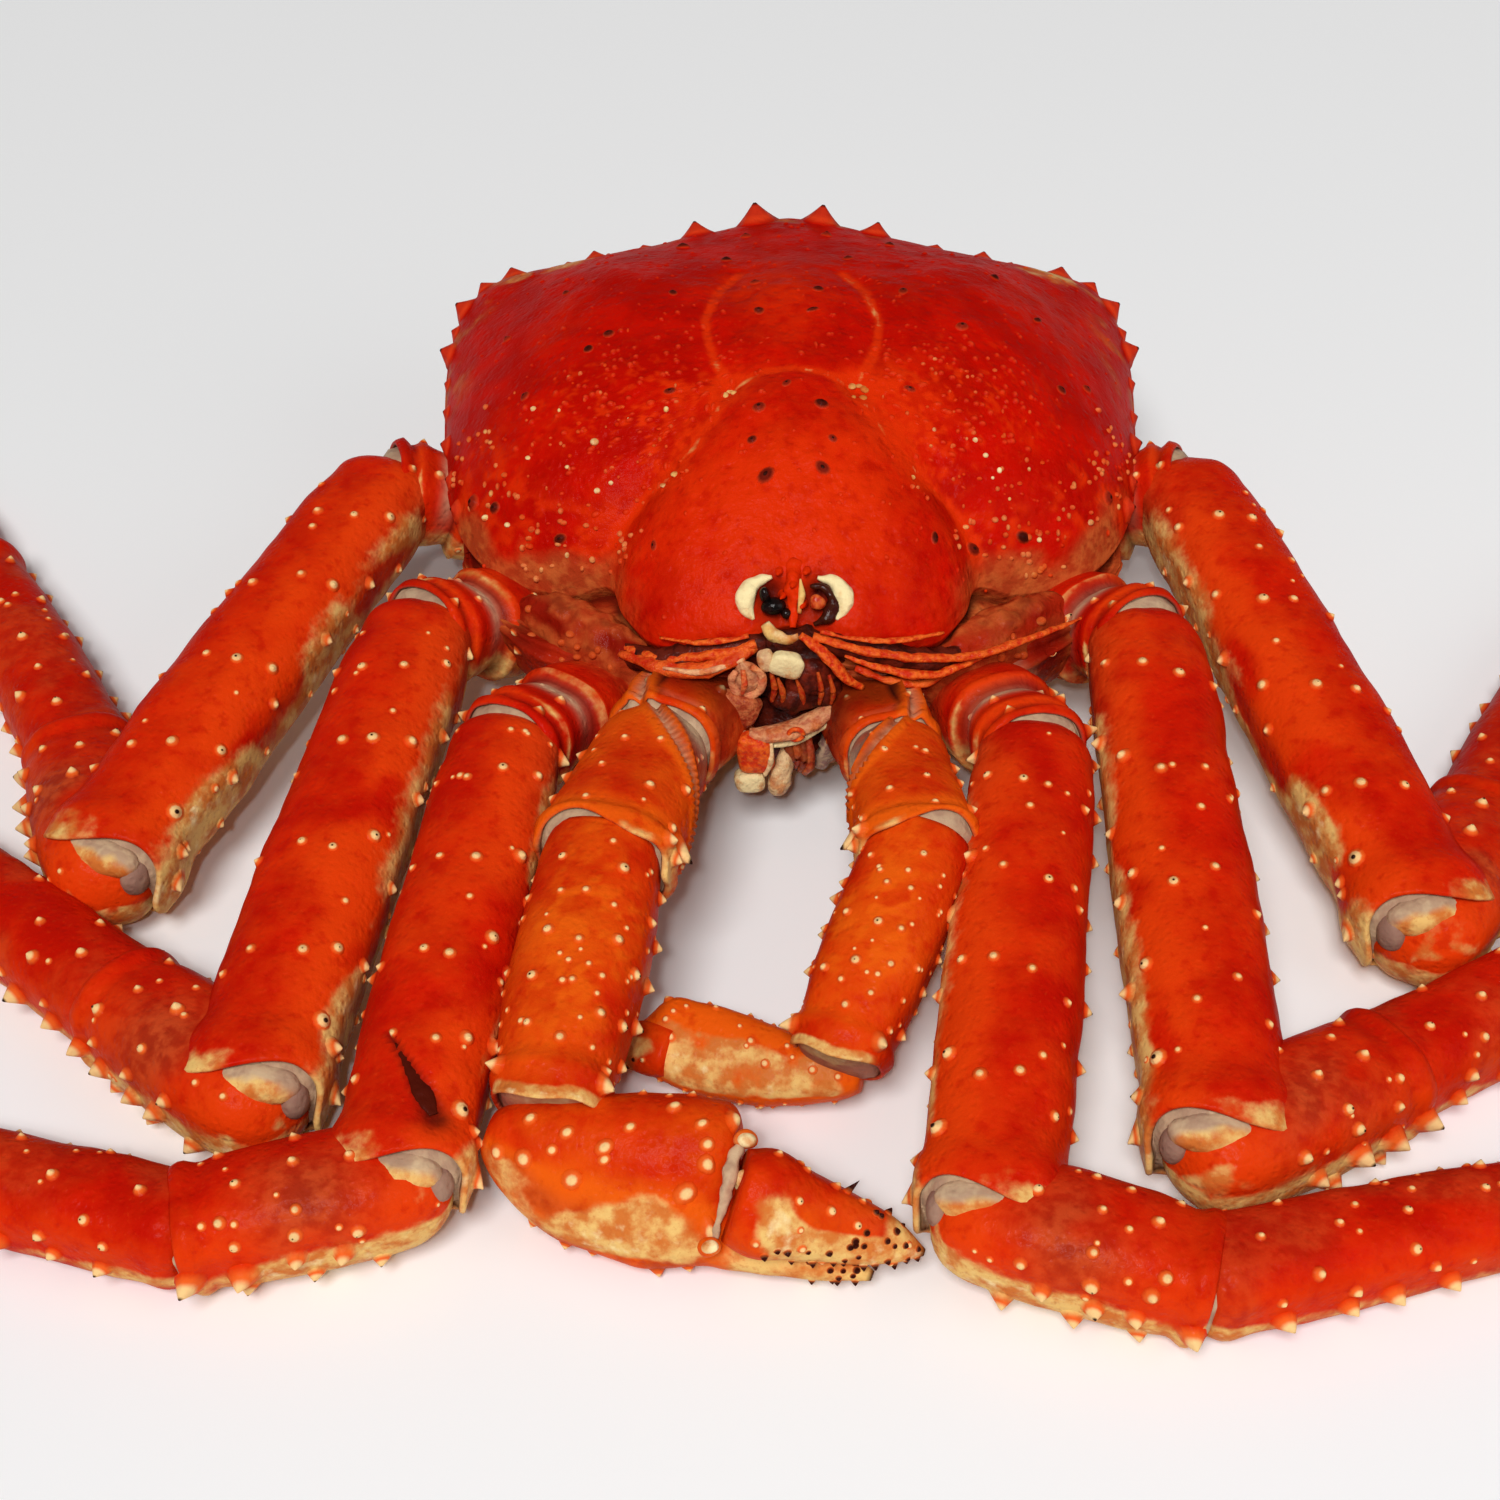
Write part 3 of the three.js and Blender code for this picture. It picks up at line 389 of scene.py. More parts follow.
def thorns(pot, skin, u, v, height, radius, lean, sharp, stain):
    """Spines that flare out of a skin at (u, v). sharp 1 is a spine and 0 a round knob.

    stain is the size of the dark point: 0 has none, 1 is large, 2 blackens the whole spine, and below 0
    the pale point shrinks too."""
    u, v, height, radius, lean, sharp, stain = (
        np.broadcast_to(vec(x), np.shape(u))[..., None] for x in (u, v, height, radius, lean, sharp, stain)
    )
    e = 1e-3
    base = skin.point(u, v)
    du = (skin.point(u + e, v) - skin.point(u - e, v)) / (2 * e)
    dv = (skin.point(u, v + e) - skin.point(u, v - e)) / (2 * e)
    out = unit(np.cross(du, dv))
    out *= np.sign((out * (base - skin.inside(u, v))).sum(-1, keepdims=True))
    towards = unit(out + lean[..., None] * unit(du))[:, :, None]
    rho, phi = CONE_RINGS[None, :, None], turns(CONE_SIDES)[None, None]
    radius, height, sharp, stain = (x[..., None] for x in (radius, height, sharp, stain))
    uu = u[..., None] + radius * rho * np.cos(phi) / np.linalg.norm(du, axis=-1)[..., None]
    vv = v[..., None] + radius * rho * np.sin(phi) / np.linalg.norm(dv, axis=-1)[..., None]
    shape = sharp * (1 - rho) ** SPINE_POWER + (1 - sharp) * (1 - rho**2) ** KNOB_POWER
    points = skin.point(uu, vv) + towards * (height * shape)[..., None]
    points = points - out[:, :, None] * (FOOT_DEPTH * rho[..., None] ** 8)
    layers = skin.tones(uu, vv)
    layers["tip"] = np.broadcast_to((1 - rho) * (0.74 + 0.26 * np.minimum(stain, 1)), uu.shape)
    black = np.clip(stain - 1, 0, 1) * rise(0.86, 0.6, rho)
    layers["dark"] = np.maximum(np.broadcast_to(layers["dark"], uu.shape), black)
    pot.sleeves(points, layers, end=True)


def ball(rings, sides, gap=0.06):
    """Rings of points on a ball of radius 1, from gap radians off one pole to as near the other."""
    polar, turn = np.meshgrid(np.linspace(gap, math.pi - gap, rings), turns(sides), indexing="ij")
    return np.stack([np.sin(polar) * np.cos(turn), np.sin(polar) * np.sin(turn), np.cos(polar)], -1)


def blob(pot, centre, radii, layers=None, seed=0, lumps=0.0, axes=None, rings=18, sides=24):
    """A lumpy ellipsoid with its radii along axes, or along x, y and z."""
    round_one = ball(rings, sides)
    p = round_one * vec(radii)
    p = p + round_one * (lumps * noise(p + vec(centre), 3.2, seed))[..., None]
    if axes is not None:
        p = p @ axes
    if callable(layers):
        layers = layers(p)
    pot.sleeves(p + vec(centre), layers or {}, start=True, end=True)


def block(pot, centre, radii, layers, tilt, seed):
    """A plate with blunt corners, turned by tilt radians as seen from the front."""
    p = ball(18, 32, 0.05)
    p = p / (np.abs(p) ** 3.4).sum(-1, keepdims=True) ** (1 / 3.4) * vec(radii)
    p = p * (1 + 0.16 * noise(p + vec(centre), 3.4, seed))[..., None]
    c, n = math.cos(tilt), math.sin(tilt)
    p = p @ np.array([(c, 0, n), (0, 1, 0), (-n, 0, c)])
    pot.sleeves(p + vec(centre), layers, start=True, end=True)


def rod(pot, path, radii, layers, squash=1.0, lumps=0.2, seed=0):
    """A lumpy tube round a smooth path, with a radius at each point of it. squash flattens it from above."""
    places, t = np.linspace(0, 1, len(path)), np.linspace(0, 1, 8 * (len(path) - 1) + 1)
    found = along_rows(np.column_stack([places, path, radii]), t)
    middle, radius = found[:, :3], found[:, 3:]
    ahead = unit(np.gradient(middle, axis=0))
    across = unit(np.cross(ahead, UP))
    over = squash * np.cross(across, ahead)
    turn = turns(ROD_SIDES)[:, None]
    spokes = across[:, None] * np.cos(turn) + over[:, None] * np.sin(turn)
    rings = middle[:, None] + spokes * radius[:, None]
    lift = lumps * noise(rings, 2.4, seed)
    rings = rings + unit(rings - rings.mean(1, keepdims=True)) * lift[..., None]
    pot.sleeves(rings, layers, start=True, end=True)


# ---------------------------------------------------------------- materials


def srgb(*values):
    linear = [((c / 255 + 0.055) / 1.055) ** 2.4 if c > 10 else c / 255 / 12.92 for c in values]
    return (*linear, 1.0)


class Paint:
    """A material's node tree, built from its surface colour up to its shader."""

    def __init__(self, name):
        self.material = bpy.data.materials.new(name)
        self.material.use_nodes = True
        self.tree = self.material.node_tree
        self.shader = self.tree.nodes["Principled BSDF"]
        self.place = self.tree.nodes.new("ShaderNodeTexCoord").outputs["Object"]

    def put(self, socket, value):
        """Links a node's output to a socket, or sets the socket to a plain value."""
        if isinstance(value, bpy.types.NodeSocket):
            self.tree.links.new(value, socket)
        else:
            socket.default_value = value

    def node(self, kind, inputs, **settings):
        made = self.tree.nodes.new(kind)
        for key, value in settings.items():
            setattr(made, key, value)
        for key, value in inputs.items():
            self.put(made.inputs[key], value)
        return made.outputs

    def noise(self, size, detail):
        """Noise in lumps of size mm."""
        inputs = {"Vector": self.place, "Scale": 1 / (size * MM), "Detail": detail, "Roughness": 0.55}
        return self.node("ShaderNodeTexNoise", inputs)["Fac"]

    def cells(self, size):
        return self.node("ShaderNodeTexVoronoi", {"Vector": self.place, "Scale": 1 / (size * MM)})["Distance"]

    def layer(self, name):
        return self.node("ShaderNodeAttribute", {}, attribute_name=name)["Fac"]

    def frayed(self, name, fine, amount):
        """A layer with its edges frayed by fine noise."""
        return self.plus(self.layer(name), self.times(self.plus(fine, -0.5), amount))

    def step(self, value, low, high):
        inputs = {"Value": value, "From Min": low, "From Max": high}
        return self.node("ShaderNodeMapRange", inputs, interpolation_type="SMOOTHSTEP")["Result"]

    def plus(self, a, b):
        return self.node("ShaderNodeMath", {0: a, 1: b}, operation="ADD")[0]

    def times(self, a, b):
        return self.node("ShaderNodeMath", {0: a, 1: b}, operation="MULTIPLY")[0]

    def mix(self, factor, a, b):
        return self.node("ShaderNodeMix", {0: factor, 6: a, 7: b}, data_type="RGBA")[2]

    def fade(self, value, low, high, a, b):
        """Colour a where value is low and b where it is high."""
        return self.mix(self.step(value, low, high), a, b)

    def bump(self, height, distance, strength=1.0):
        inputs = {"Height": height, "Distance": distance * MM, "Strength": strength}
        return self.node("ShaderNodeBump", inputs)["Normal"]

    def finish(self, colour, roughness, normal=None, coat=0.0, coat_roughness=0.12, specular=0.5):
        inputs = {"Base Color": colour, "Roughness": roughness, "IOR": 1.3, "Coat IOR": 1.35,
                  "Coat Weight": coat, "Coat Roughness": coat_roughness, "Specular IOR Level": specular}
        if normal is not None:
            inputs |= {"Normal": normal, "Coat Normal": normal}
        for key, value in inputs.items():
            self.put(self.shader.inputs[key], value)
        return self.material


CREAM = srgb(230, 186, 110)
TAN = srgb(204, 112, 48)
LIGHT = srgb(246, 226, 170)
DARK = srgb(40, 14, 8)
SOFT = srgb(184, 150, 120)
MAUVE = srgb(138, 98, 88)


def shell_paint(name, deep, red, warm, pits, coat, cones, dulled, grain=0.45):
    """Cooked crab shell: mottled red to orange, cream where it is pale, coned spines, soft skin at joints.

    cones are the colours of a spine at its flank, below its point and at its point, and dulled the two
    colours of dull patches: worn ones, and on the legs and claws also painted shade. pits is the width of
    the pits and grain the depth of the relief, in mm."""
    paint = Paint(name)
    broad, fine, specks = paint.noise(16, 2), paint.noise(4.5, 4), paint.noise(1.3, 3)
    colour = paint.fade(broad, 0.36, 0.66, deep, red)
    warmth = paint.plus(paint.layer("warm"), paint.times(fine, 0.5))
    colour = paint.fade(warmth, 0.35, 1.15, colour, warm)
    colour = paint.mix(paint.times(paint.step(specks, 0.58, 0.78), 0.14), colour, srgb(232, 84, 30))
    colour = paint.mix(paint.times(paint.step(fine, 0.46, 0.3), 0.4), colour, deep)
    # dull patches: worn ones, and on the legs and claws painted shade
    colour = paint.mix(paint.layer("dull"), colour, paint.fade(fine, 0.4, 0.62, *dulled))
    # cream or tan, with ragged edges and brown flecks
    cream = paint.fade(paint.noise(7, 5), 0.38, 0.62, TAN, CREAM)
    cream = paint.mix(paint.times(paint.step(specks, 0.55, 0.7), 0.35), cream, srgb(190, 92, 44))
    pale = paint.frayed("pale", fine, 0.7)
    cream = paint.fade(pale, 1.0, 1.25, cream, LIGHT)
    colour = paint.fade(pale, 0.3, 0.8, colour, cream)
    for low, high, cone in zip((0.04, 0.32, 0.72), (0.34, 0.52, 0.84), cones):
        colour = paint.fade(paint.layer("tip"), low, high, colour, cone)
    soft = paint.fade(paint.noise(6, 3), 0.4, 0.62, SOFT, srgb(208, 178, 140))
    soft = paint.mix(paint.times(paint.layer("dull"), 0.8), soft, MAUVE)
    colour = paint.mix(paint.layer("skin"), colour, soft)
    # the dark layer: dark marks, and painted shade in creases and crevices
    colour = paint.mix(paint.layer("dark"), colour, srgb(54, 14, 8))
    gloss = paint.node("ShaderNodeMapRange", {"Value": specks, "To Min": 0.32, "To Max": 0.55})["Result"]
    height = paint.times(paint.step(paint.cells(pits), 0.05, 0.5), 0.5)
    height = paint.plus(paint.plus(height, paint.times(specks, 0.6)), paint.times(fine, 0.8))
    normal = paint.bump(height, grain, 0.7)
    return paint.finish(colour, gloss, normal, coat, coat_roughness=0.16, specular=0.04)


def plain_paint(name, first, second, size, roughness, coat, bump=0.3):
    """Two mottled colours; the layers add orange, brown, cream, soft skin, a dark tip, and painted shade in
    dark creases, hollows and crevices.
    """
    paint = Paint(name)
    grain, fine = paint.noise(size / 4, 3), paint.noise(size / 2.2, 4)
    colour = paint.fade(paint.noise(size, 4), 0.38, 0.62, first, second)
    orange = paint.fade(fine, 0.36, 0.64, srgb(206, 42, 10), srgb(238, 104, 32))
    colour = paint.mix(paint.layer("warm"), colour, orange)
    brown = paint.fade(fine, 0.38, 0.62, srgb(142, 50, 28), srgb(188, 104, 62))
    colour = paint.mix(paint.layer("dull"), colour, brown)
    cream = paint.fade(paint.noise(5, 4), 0.36, 0.5, srgb(214, 158, 100), srgb(238, 216, 160))
    colour = paint.fade(paint.frayed("pale", fine, 0.4), 0.15, 0.95, colour, cream)
    colour = paint.mix(paint.layer("skin"), colour, paint.fade(fine, 0.38, 0.62, MAUVE, SOFT))
    colour = paint.fade(paint.layer("tip"), 0.5, 0.9, colour, DARK)
    colour = paint.mix(paint.layer("dark"), colour, DARK)
    height = paint.plus(grain, paint.times(fine, 1.5))
    return paint.finish(colour, roughness, paint.bump(height, bump), coat, specular=0.2)


PALE_CONES = (srgb(230, 96, 34), srgb(240, 196, 132), DARK)
RED_CONES = (srgb(216, 58, 24), srgb(196, 46, 22), DARK)
# the red browns: worn patches on the legs and claws, and painted shade on their shaded sides and edges; the
# tan ones are worn patches on the shell and body
RED_WEAR_AND_SHADE = (srgb(150, 44, 20), srgb(184, 72, 34))
TAN_WEAR = (srgb(170, 66, 30), srgb(196, 98, 46))
SHELL_PAINT = shell_paint("wet_red_shell", srgb(176, 8, 0), srgb(198, 13, 0), srgb(216, 44, 4), 3.2, 0.04,
                          RED_CONES, TAN_WEAR, 0.7)
LEG_PAINT = shell_paint("leg_shell", srgb(184, 15, 2), srgb(204, 26, 3), srgb(220, 58, 8), 2.4, 0.05,
                        PALE_CONES, RED_WEAR_AND_SHADE)
CLAW_PAINT = shell_paint("claw_shell", srgb(194, 30, 2), srgb(214, 52, 5), srgb(226, 88, 12), 2.4, 0.05,
                         PALE_CONES, RED_WEAR_AND_SHADE)
BODY_PAINT = shell_paint("body_shell", srgb(132, 18, 6), srgb(168, 36, 12), srgb(196, 76, 30), 2.8, 0.08,
                         PALE_CONES, TAN_WEAR, 0.7)
EYE_PAINT = plain_paint("eye_black", srgb(8, 4, 4), srgb(28, 10, 8), 3, 0.2, 0.4, 0.1)
MOUTH_PAINT = plain_paint("mouth_maroon", srgb(66, 12, 6), srgb(136, 40, 20), 4, 0.4, 0.15)
FEELER_PAINT = plain_paint("feeler_orange", srgb(196, 40, 10), srgb(234, 104, 36), 4, 0.4, 0.15, 0.5)

# ---------------------------------------------------------------- limbs

# The rim at a segment's open end, ring by ring: share of the section, mm past the end, how much of the
# cut-outs it follows, and how far it is soft skin.
RIM = [
    (1, 0.6, 1, 0), (0.975, 1.1, 1, 0), (0.93, 1, 1, 0.1), (0.895, 0.2, 0.97, 0.5), (0.88, -0.8, 0.92, 1),
    (0.87, -0.4, 0.6, 1), (0.86, 0.6, 0.25, 1), (0.83, 1.8, 0, 1), (0.7, 3, 0, 1), (0.45, 3.8, 0, 1),
    (0.16, 4.1, 0, 1),
]
# Ridges round the skin, and grooves where the height is below 0: height, place and width. The place is a
# share of the limb's length, or for a seam the degrees from it.
END_RIDGES = [(1.1, 0.965, 0.035), (-0.5, 0.9, 0.04)]
COXA_RIDGES = [(1.2, 0.55, 0.03), (-0.9, 0.605, 0.025), (0.7, 0.83, 0.04), (-0.6, 0.9, 0.025)]
SEAM_RIDGES = [(1.3, -9, 5.5), (1.2, 11, 5.5), (-1.5, 1, 5)]
# Cut-outs of the rim, and lobes where the depth is below 0: angle, width in degrees, depth.
CUTS = {
    "coxa": [(100, 40, 1.6)],
    "merus": [(132, 30, 2.6), (58, 32, -3.2), (190, 24, -5), (4, 16, -2)],
    "carpus": [(90, 50, 1)],
    "propodus": [(90, 50, 1)],
    "claw_coxa": [(100, 50, 1)],
    "claw_merus": [(66, 26, 2.2), (120, 24, -2.5), (176, 16, -4), (10, 14, -2)],
    "claw_carpus": [(84, 56, -6), (150, 24, -2)],
    "dactylus": [],
    "claw_palm": [],
    "claw_finger": [],
}
# The seam that runs along the root of a claw: place and angle. Soft skin lies on its inner side.
SEAMS = {
    "claw_coxa": [(0, 46), (0.5, 50), (0.8, 54), (1, 64)],
    "claw_merus": [(0, 74), (0.15, 88), (0.33, 114), (0.45, 134), (0.55, 154), (0.66, 180), (1, 250)],
}
# Old wounds in the shell, dark and sunk: limb, then place and angle of both ends.
WOUNDS = {"merus_front_right": ((0.785, 66), (0.925, 120))}


def ridges(rows, x):
    return sum(height * hump(x, place, width) for height, place, width in rows)


# How each kind of segment is coloured. Each function takes what it needs of: the limb, the place t along it,
# the degrees round it, the point p, two noises, how far it is on the underside, and the cream there.


def merus_tones(limb, t, degrees, p, blotch, streak, pale, **_):
    band = hump_round(degrees, 172, 30) * rise(-0.7, 0.3, rough(p, 30, limb.seed + 8))
    band = band + 0.7 * hump_round(degrees, 156, 12) * hump(t, 0.8, 0.14) * rise(-0.4, 0.4, streak)
    pale = pale + band * rise(0.03, 0.16, t)
    pale = pale + 1.1 * rise(0.93, 0.985, t) * hump_round(degrees, 180, 30)
    pale = pale + 0.5 * rise(0.95, 0.99, t) * hump_round(degrees, 66, 50) * rise(-0.6, 0.2, blotch)
    warm = 0.3 + 0.7 * hump_round(degrees, 142, 42) * rise(-0.7, 0.3, streak) + 0.2 * blotch
    # the dull brown on the inner side of the first half is painted shade there
    return {"pale": pale, "warm": warm, "dull": 0.75 * hump_round(degrees, 176, 34) * rise(0.5, 0, t)}


def carpus_tones(limb, t, degrees, p, blotch, pale, **_):
    flecks = rise(-0.3, 0.5, rough(p, 6, limb.seed))
    pale = pale + 0.95 * hump_round(degrees, 204, 32) * rise(1, 0.6, t) * rise(0.02, 0.12, t)
    pale = pale + 0.7 * rise(0.22, 0.05, t) * hump_round(degrees, 140, 60) * flecks
    warm = 0.3 + 0.6 * rise(0.3, 0.1, t) + 0.35 * hump_round(degrees, 165, 40) + 0.15 * blotch
    dull = 0.85 * hump_round(degrees, 128, 50) * hump(t, 0.52, 0.2) * rise(-0.5, 0.3, blotch)
    return {"pale": pale, "warm": warm, "dull": dull}


def propodus_tones(t, degrees, blotch, pale, **_):
    pale = pale * 0.6 + 0.5 * hump_round(degrees, 200, 14) * rise(0.5, 0, t)
    warm = 0.22 + 0.4 * hump_round(degrees, 172, 34) + 0.15 * blotch
    return {"pale": pale, "warm": warm, "dull": 0.3 * rise(-0.2, 0.6, blotch)}


def dactylus_tones(t, pale, **_):
    return {"pale": pale * 0.4, "dark": rise(0.86, 0.97, t)}


def coxa_tones(t, degrees, blotch, streak, pale, **_):
    # dark in the two grooves and dull brown in the half towards the hip, under the body: painted shade in
    # both places
    edges = hump(t, 0.56, 0.02) + hump(t, 0.86, 0.02)
    return {"pale": np.maximum(pale, 0.75 * edges * rise(-0.5, 0.5, streak)),
            "warm": 0.3 + 0.3 * blotch + 0.4 * edges, "dull": 0.7 * rise(0.5, 0.2, t),
            "skin": 0.95 * hump(t, 0.66, 0.045) * hump_round(degrees, 100, 62),
            "dark": 0.7 * hump(t, 0.6, 0.02) + 0.5 * hump(t, 0.9, 0.014)}


def claw_root_tones(limb, t, degrees, blotch, streak, pale, **_):
    """The claw's coxa and merus, with the soft skin on the inner side of their seam."""
    past = limb.past_seam(t, degrees)
    warm = 0.35 + 0.3 * blotch + 0.9 * (hump(past, -9, 7) + hump(past, 11, 7))
    warm = warm + 0.5 * rise(0.8, 0.95, t) * rise(16, 8, past)
    inner = rise(15, 24, past) * rise(84, 58, past) * rise(0.92, 0.8, t)
    pale = pale * 0.6
    # dark lines beside the seam's ridges are painted shade in the creases there
    dark = 0.55 * hump(past, 5, 2.4) + 0.5 * hump(past, 19, 4) * rise(0.95, 0.85, t)
    if limb.kind == "claw_merus":
        pale = pale + rise(0.9, 0.97, t) * hump_round(degrees, 165, 22)
    else:
        inner = inner * rise(0.8, 0.95, t)
        dark = dark + 0.7 * rise(0.95, 0.6, t) * rise(4, 20, past) * rise(-0.9, 0.3, streak)
    skin = 0.7 * hump(past, 1, 4) + inner * rise(-0.7, 0.3, blotch + 0.6 * streak)
    dull = 0.9 * inner * rise(0.7, -0.3, streak) + 0.5 * rise(60, 100, past) * rise(220, 190, past)
    return {"pale": pale, "warm": warm, "dull": dull, "skin": skin, "dark": dark}


def claw_carpus_tones(t, degrees, p, blotch, pale, **_):
    grains = rise(0, 0.6, noise(p, 3.4, 71) + 0.5 * noise(p, 1.8, 72))
    warm = 0.25 + 0.2 * blotch
    warm = warm + hump_round(degrees, 96, 44) * hump(t, 0.5, 0.34) * (0.35 + 0.6 * grains)
    return {"pale": pale * 0.6 + 0.5 * hump_round(degrees, 172, 14) * rise(-0.2, 0.5, blotch), "warm": warm}


def claw_palm_tones(limb, t, degrees, p, blotch, streak, **_):
    """A pale heart and lower edge on the big palm, with patches of painted shade along that edge, and a broad
    pale band on the small one.
    """
    if limb.size < BIG_PALM:
        across = signed(degrees) + 10 * blotch
        band = rise(126, 104, across) * rise(22, 40, across)
        pale = 0.85 * band * rise(0, 0.1, t) * rise(0.74, 0.6, t)
        return {"pale": pale + 0.55 * rough(p, 5, 4) * pale, "warm": 0.75 + 0.4 * blotch}
    across = signed(degrees) + 7 * blotch
    heart = hump(t, 0.45, 0.1) * hump(across, 62, 17)
    heart = heart + 0.8 * hump(t, 0.34, 0.08) * hump(across, 54, 14)
    edge = rise(92, 70, across + 22 * t) * rise(0.66, 0.56, t)
    pale = 1.2 * heart + 0.62 * edge * rise(-0.8, 0.3, streak) + 0.8 * rise(0.6, 0.7, t)
    warm = 0.2 + 0.3 * blotch + 0.9 * rise(106, 70, across)
    # the dull brown patches along the lower edge are painted shade there
    return {"pale": pale, "warm": warm, "dull": 0.55 * edge * rise(0.3, -0.5, rough(p, 7, 3)),
            "dark": rise(0.985, 0.995, t)}


def claw_finger_tones(t, degrees, blotch, below, **_):
    across = signed(degrees) + 12 * blotch
    heart = hump(t, 0.2, 0.13) * hump(across, 84, 24)
    lower = rise(104, 82, across) * rise(0.12, 0.3, t) + rise(0.66, 0.84, t)
    return {"pale": 1.2 * heart + 0.9 * lower + 0.5 * below, "dull": 0.25 * rise(0.4, 0.8, t),
            "warm": 0.3 + 0.3 * blotch, "dark": rise(0.965, 0.99, t)}


TONES = {
    "coxa": coxa_tones, "merus": merus_tones, "carpus": carpus_tones, "propodus": propodus_tones,
    "dactylus": dactylus_tones, "claw_coxa": claw_root_tones, "claw_merus": claw_root_tones,
    "claw_carpus": claw_carpus_tones, "claw_palm": claw_palm_tones, "claw_finger": claw_finger_tones,
}


class Limb:
    """One segment: a bent middle line with an oval section that swells and narrows along it."""

    def __init__(self, kind, start, end, outer, arch, size, roll, seed, wound=None):
        self.kind, self.outer, self.size, self.seed, self.wound = kind, outer, size, seed, wound
        self.start, self.end = vec(start), vec(end)
        self.bend = (self.start + self.end) / 2 + UP * arch
        self.half = vec(HALF[kind]) * size
        self.roll = math.radians(roll) * outer
        self.length = np.linalg.norm(self.end - self.start)

    def line(self, t):
        """Places on the middle line, which runs straight on past both ends, and its direction there."""
        k = np.clip(t, 0, 1)[..., None]
        middle = (1 - k) ** 2 * self.start + 2 * k * (1 - k) * self.bend + k**2 * self.end
        along = unit((1 - k) * (self.bend - self.start) + k * (self.end - self.bend))
        return middle + (np.asarray(t)[..., None] - k) * self.length * along, along

    def inside(self, t, a):
        return self.line(t)[0]

    def section(self, t, a, share=1.0, lift=0.0):
        """Places on the bare oval section: a is the angle from the outer side."""
        middle, along = self.line(t)
        side = unit(np.cross(along, UP)) * self.outer
        side = side * math.cos(self.roll) + np.cross(along, side) * math.sin(self.roll)
        top = np.cross(side, along) * self.outer
        rows = [(*row, 0)[:4] for row in PROFILE[self.kind]]
        wide, deep, shift = np.moveaxis(along_rows(rows, np.clip(t, 0, 1)), -1, 0)
        c, s = np.cos(a), np.sin(a)
        square = (np.abs(c) ** 2.5 + np.abs(s) ** 2.5) ** (-1 / 2.5)
        x = shift * self.half[0] + c * square * (self.half[0] * wide * share + lift)
        y = s * square * (self.half[1] * deep * share + lift)
        return middle + side * x[..., None] + top * y[..., None]

    def past_seam(self, t, degrees):
        """How many degrees a place lies on the inner side of the limb's seam."""
        rows = SEAMS[self.kind]
        return (degrees + 60) % 360 - 60 - np.interp(t, *zip(*rows))

    def hurt(self, t, degrees):
        """1 in the wound, which widens along it, and 0 away from it."""
        if self.wound is None:
            return 0.0
        (t0, a0), (t1, a1) = self.wound
        k = np.clip((t - t0) / (t1 - t0), 0, 1)
        across, along = (degrees - a0 - k * (a1 - a0)) * 0.3, (t - t0 - k * (t1 - t0)) * self.length
        grain = noise(np.stack([across, t * self.length, 0 * t], -1), 2.2, 5)
        return np.minimum(1, 1.5 * hump(np.hypot(across, along) * (1 + 0.2 * grain), 0, 0.6 + 3.2 * k**1.4))

    def point(self, t, a, share=1.0):
        """Places on the skin, with its ridges and lumps."""
        bare = self.section(t, a, share)
        lift = 0.55 * noise(bare, 13, self.seed) + 0.2 * noise(bare, 5, self.seed + 3)
        degrees = np.degrees(a)
        if self.kind in ("merus", "propodus", "carpus"):
            lift = lift + 0.8 * hump_round(degrees, 0, 16) + 0.7 * hump_round(degrees, 158, 16)
        if self.kind == "coxa":
            lift = lift + ridges(COXA_RIDGES, t)
        if self.kind in SEAMS:
            past = self.past_seam(t, degrees)
            lift = lift + ridges(SEAM_RIDGES, past)
            lift = lift - 1.6 * rise(14, 40, past) * rise(150, 110, past) * (t < 0.9)
        ends = 0 if self.kind in POINTED else ridges(END_RIDGES, t)
        lift = lift - 1.4 * self.hurt(t, degrees)
        return self.section(t, a, share, (lift + ends) * share)

    def tones(self, t, a):
        """The colour layers at places on this segment: the plain ones, then those that its kind changes."""
        degrees = np.degrees(a) % 360
        p = self.section(t, a)
        blotch = rough(p, 16, self.seed + 5)
        streak = rough(p * [0.4, 0.4, 1], 9, self.seed + 9)
        below = rise(172, 205, degrees) * rise(372, 330, degrees)
        pale = 0.72 * below + 0.3 * blotch * below
        layers = {"pale": pale, "skin": np.zeros(t.shape), "dull": np.zeros(t.shape),
                  "dark": np.zeros(t.shape) + 0.8 * self.hurt(t, degrees), "warm": 0.5 + 0.25 * blotch}
        layers |= TONES[self.kind](limb=self, t=t, degrees=degrees, p=p, blotch=blotch, streak=streak,
                                   below=below, pale=pale)
        return {name: x if name == "warm" else np.clip(x, 0, 1) for name, x in layers.items()}

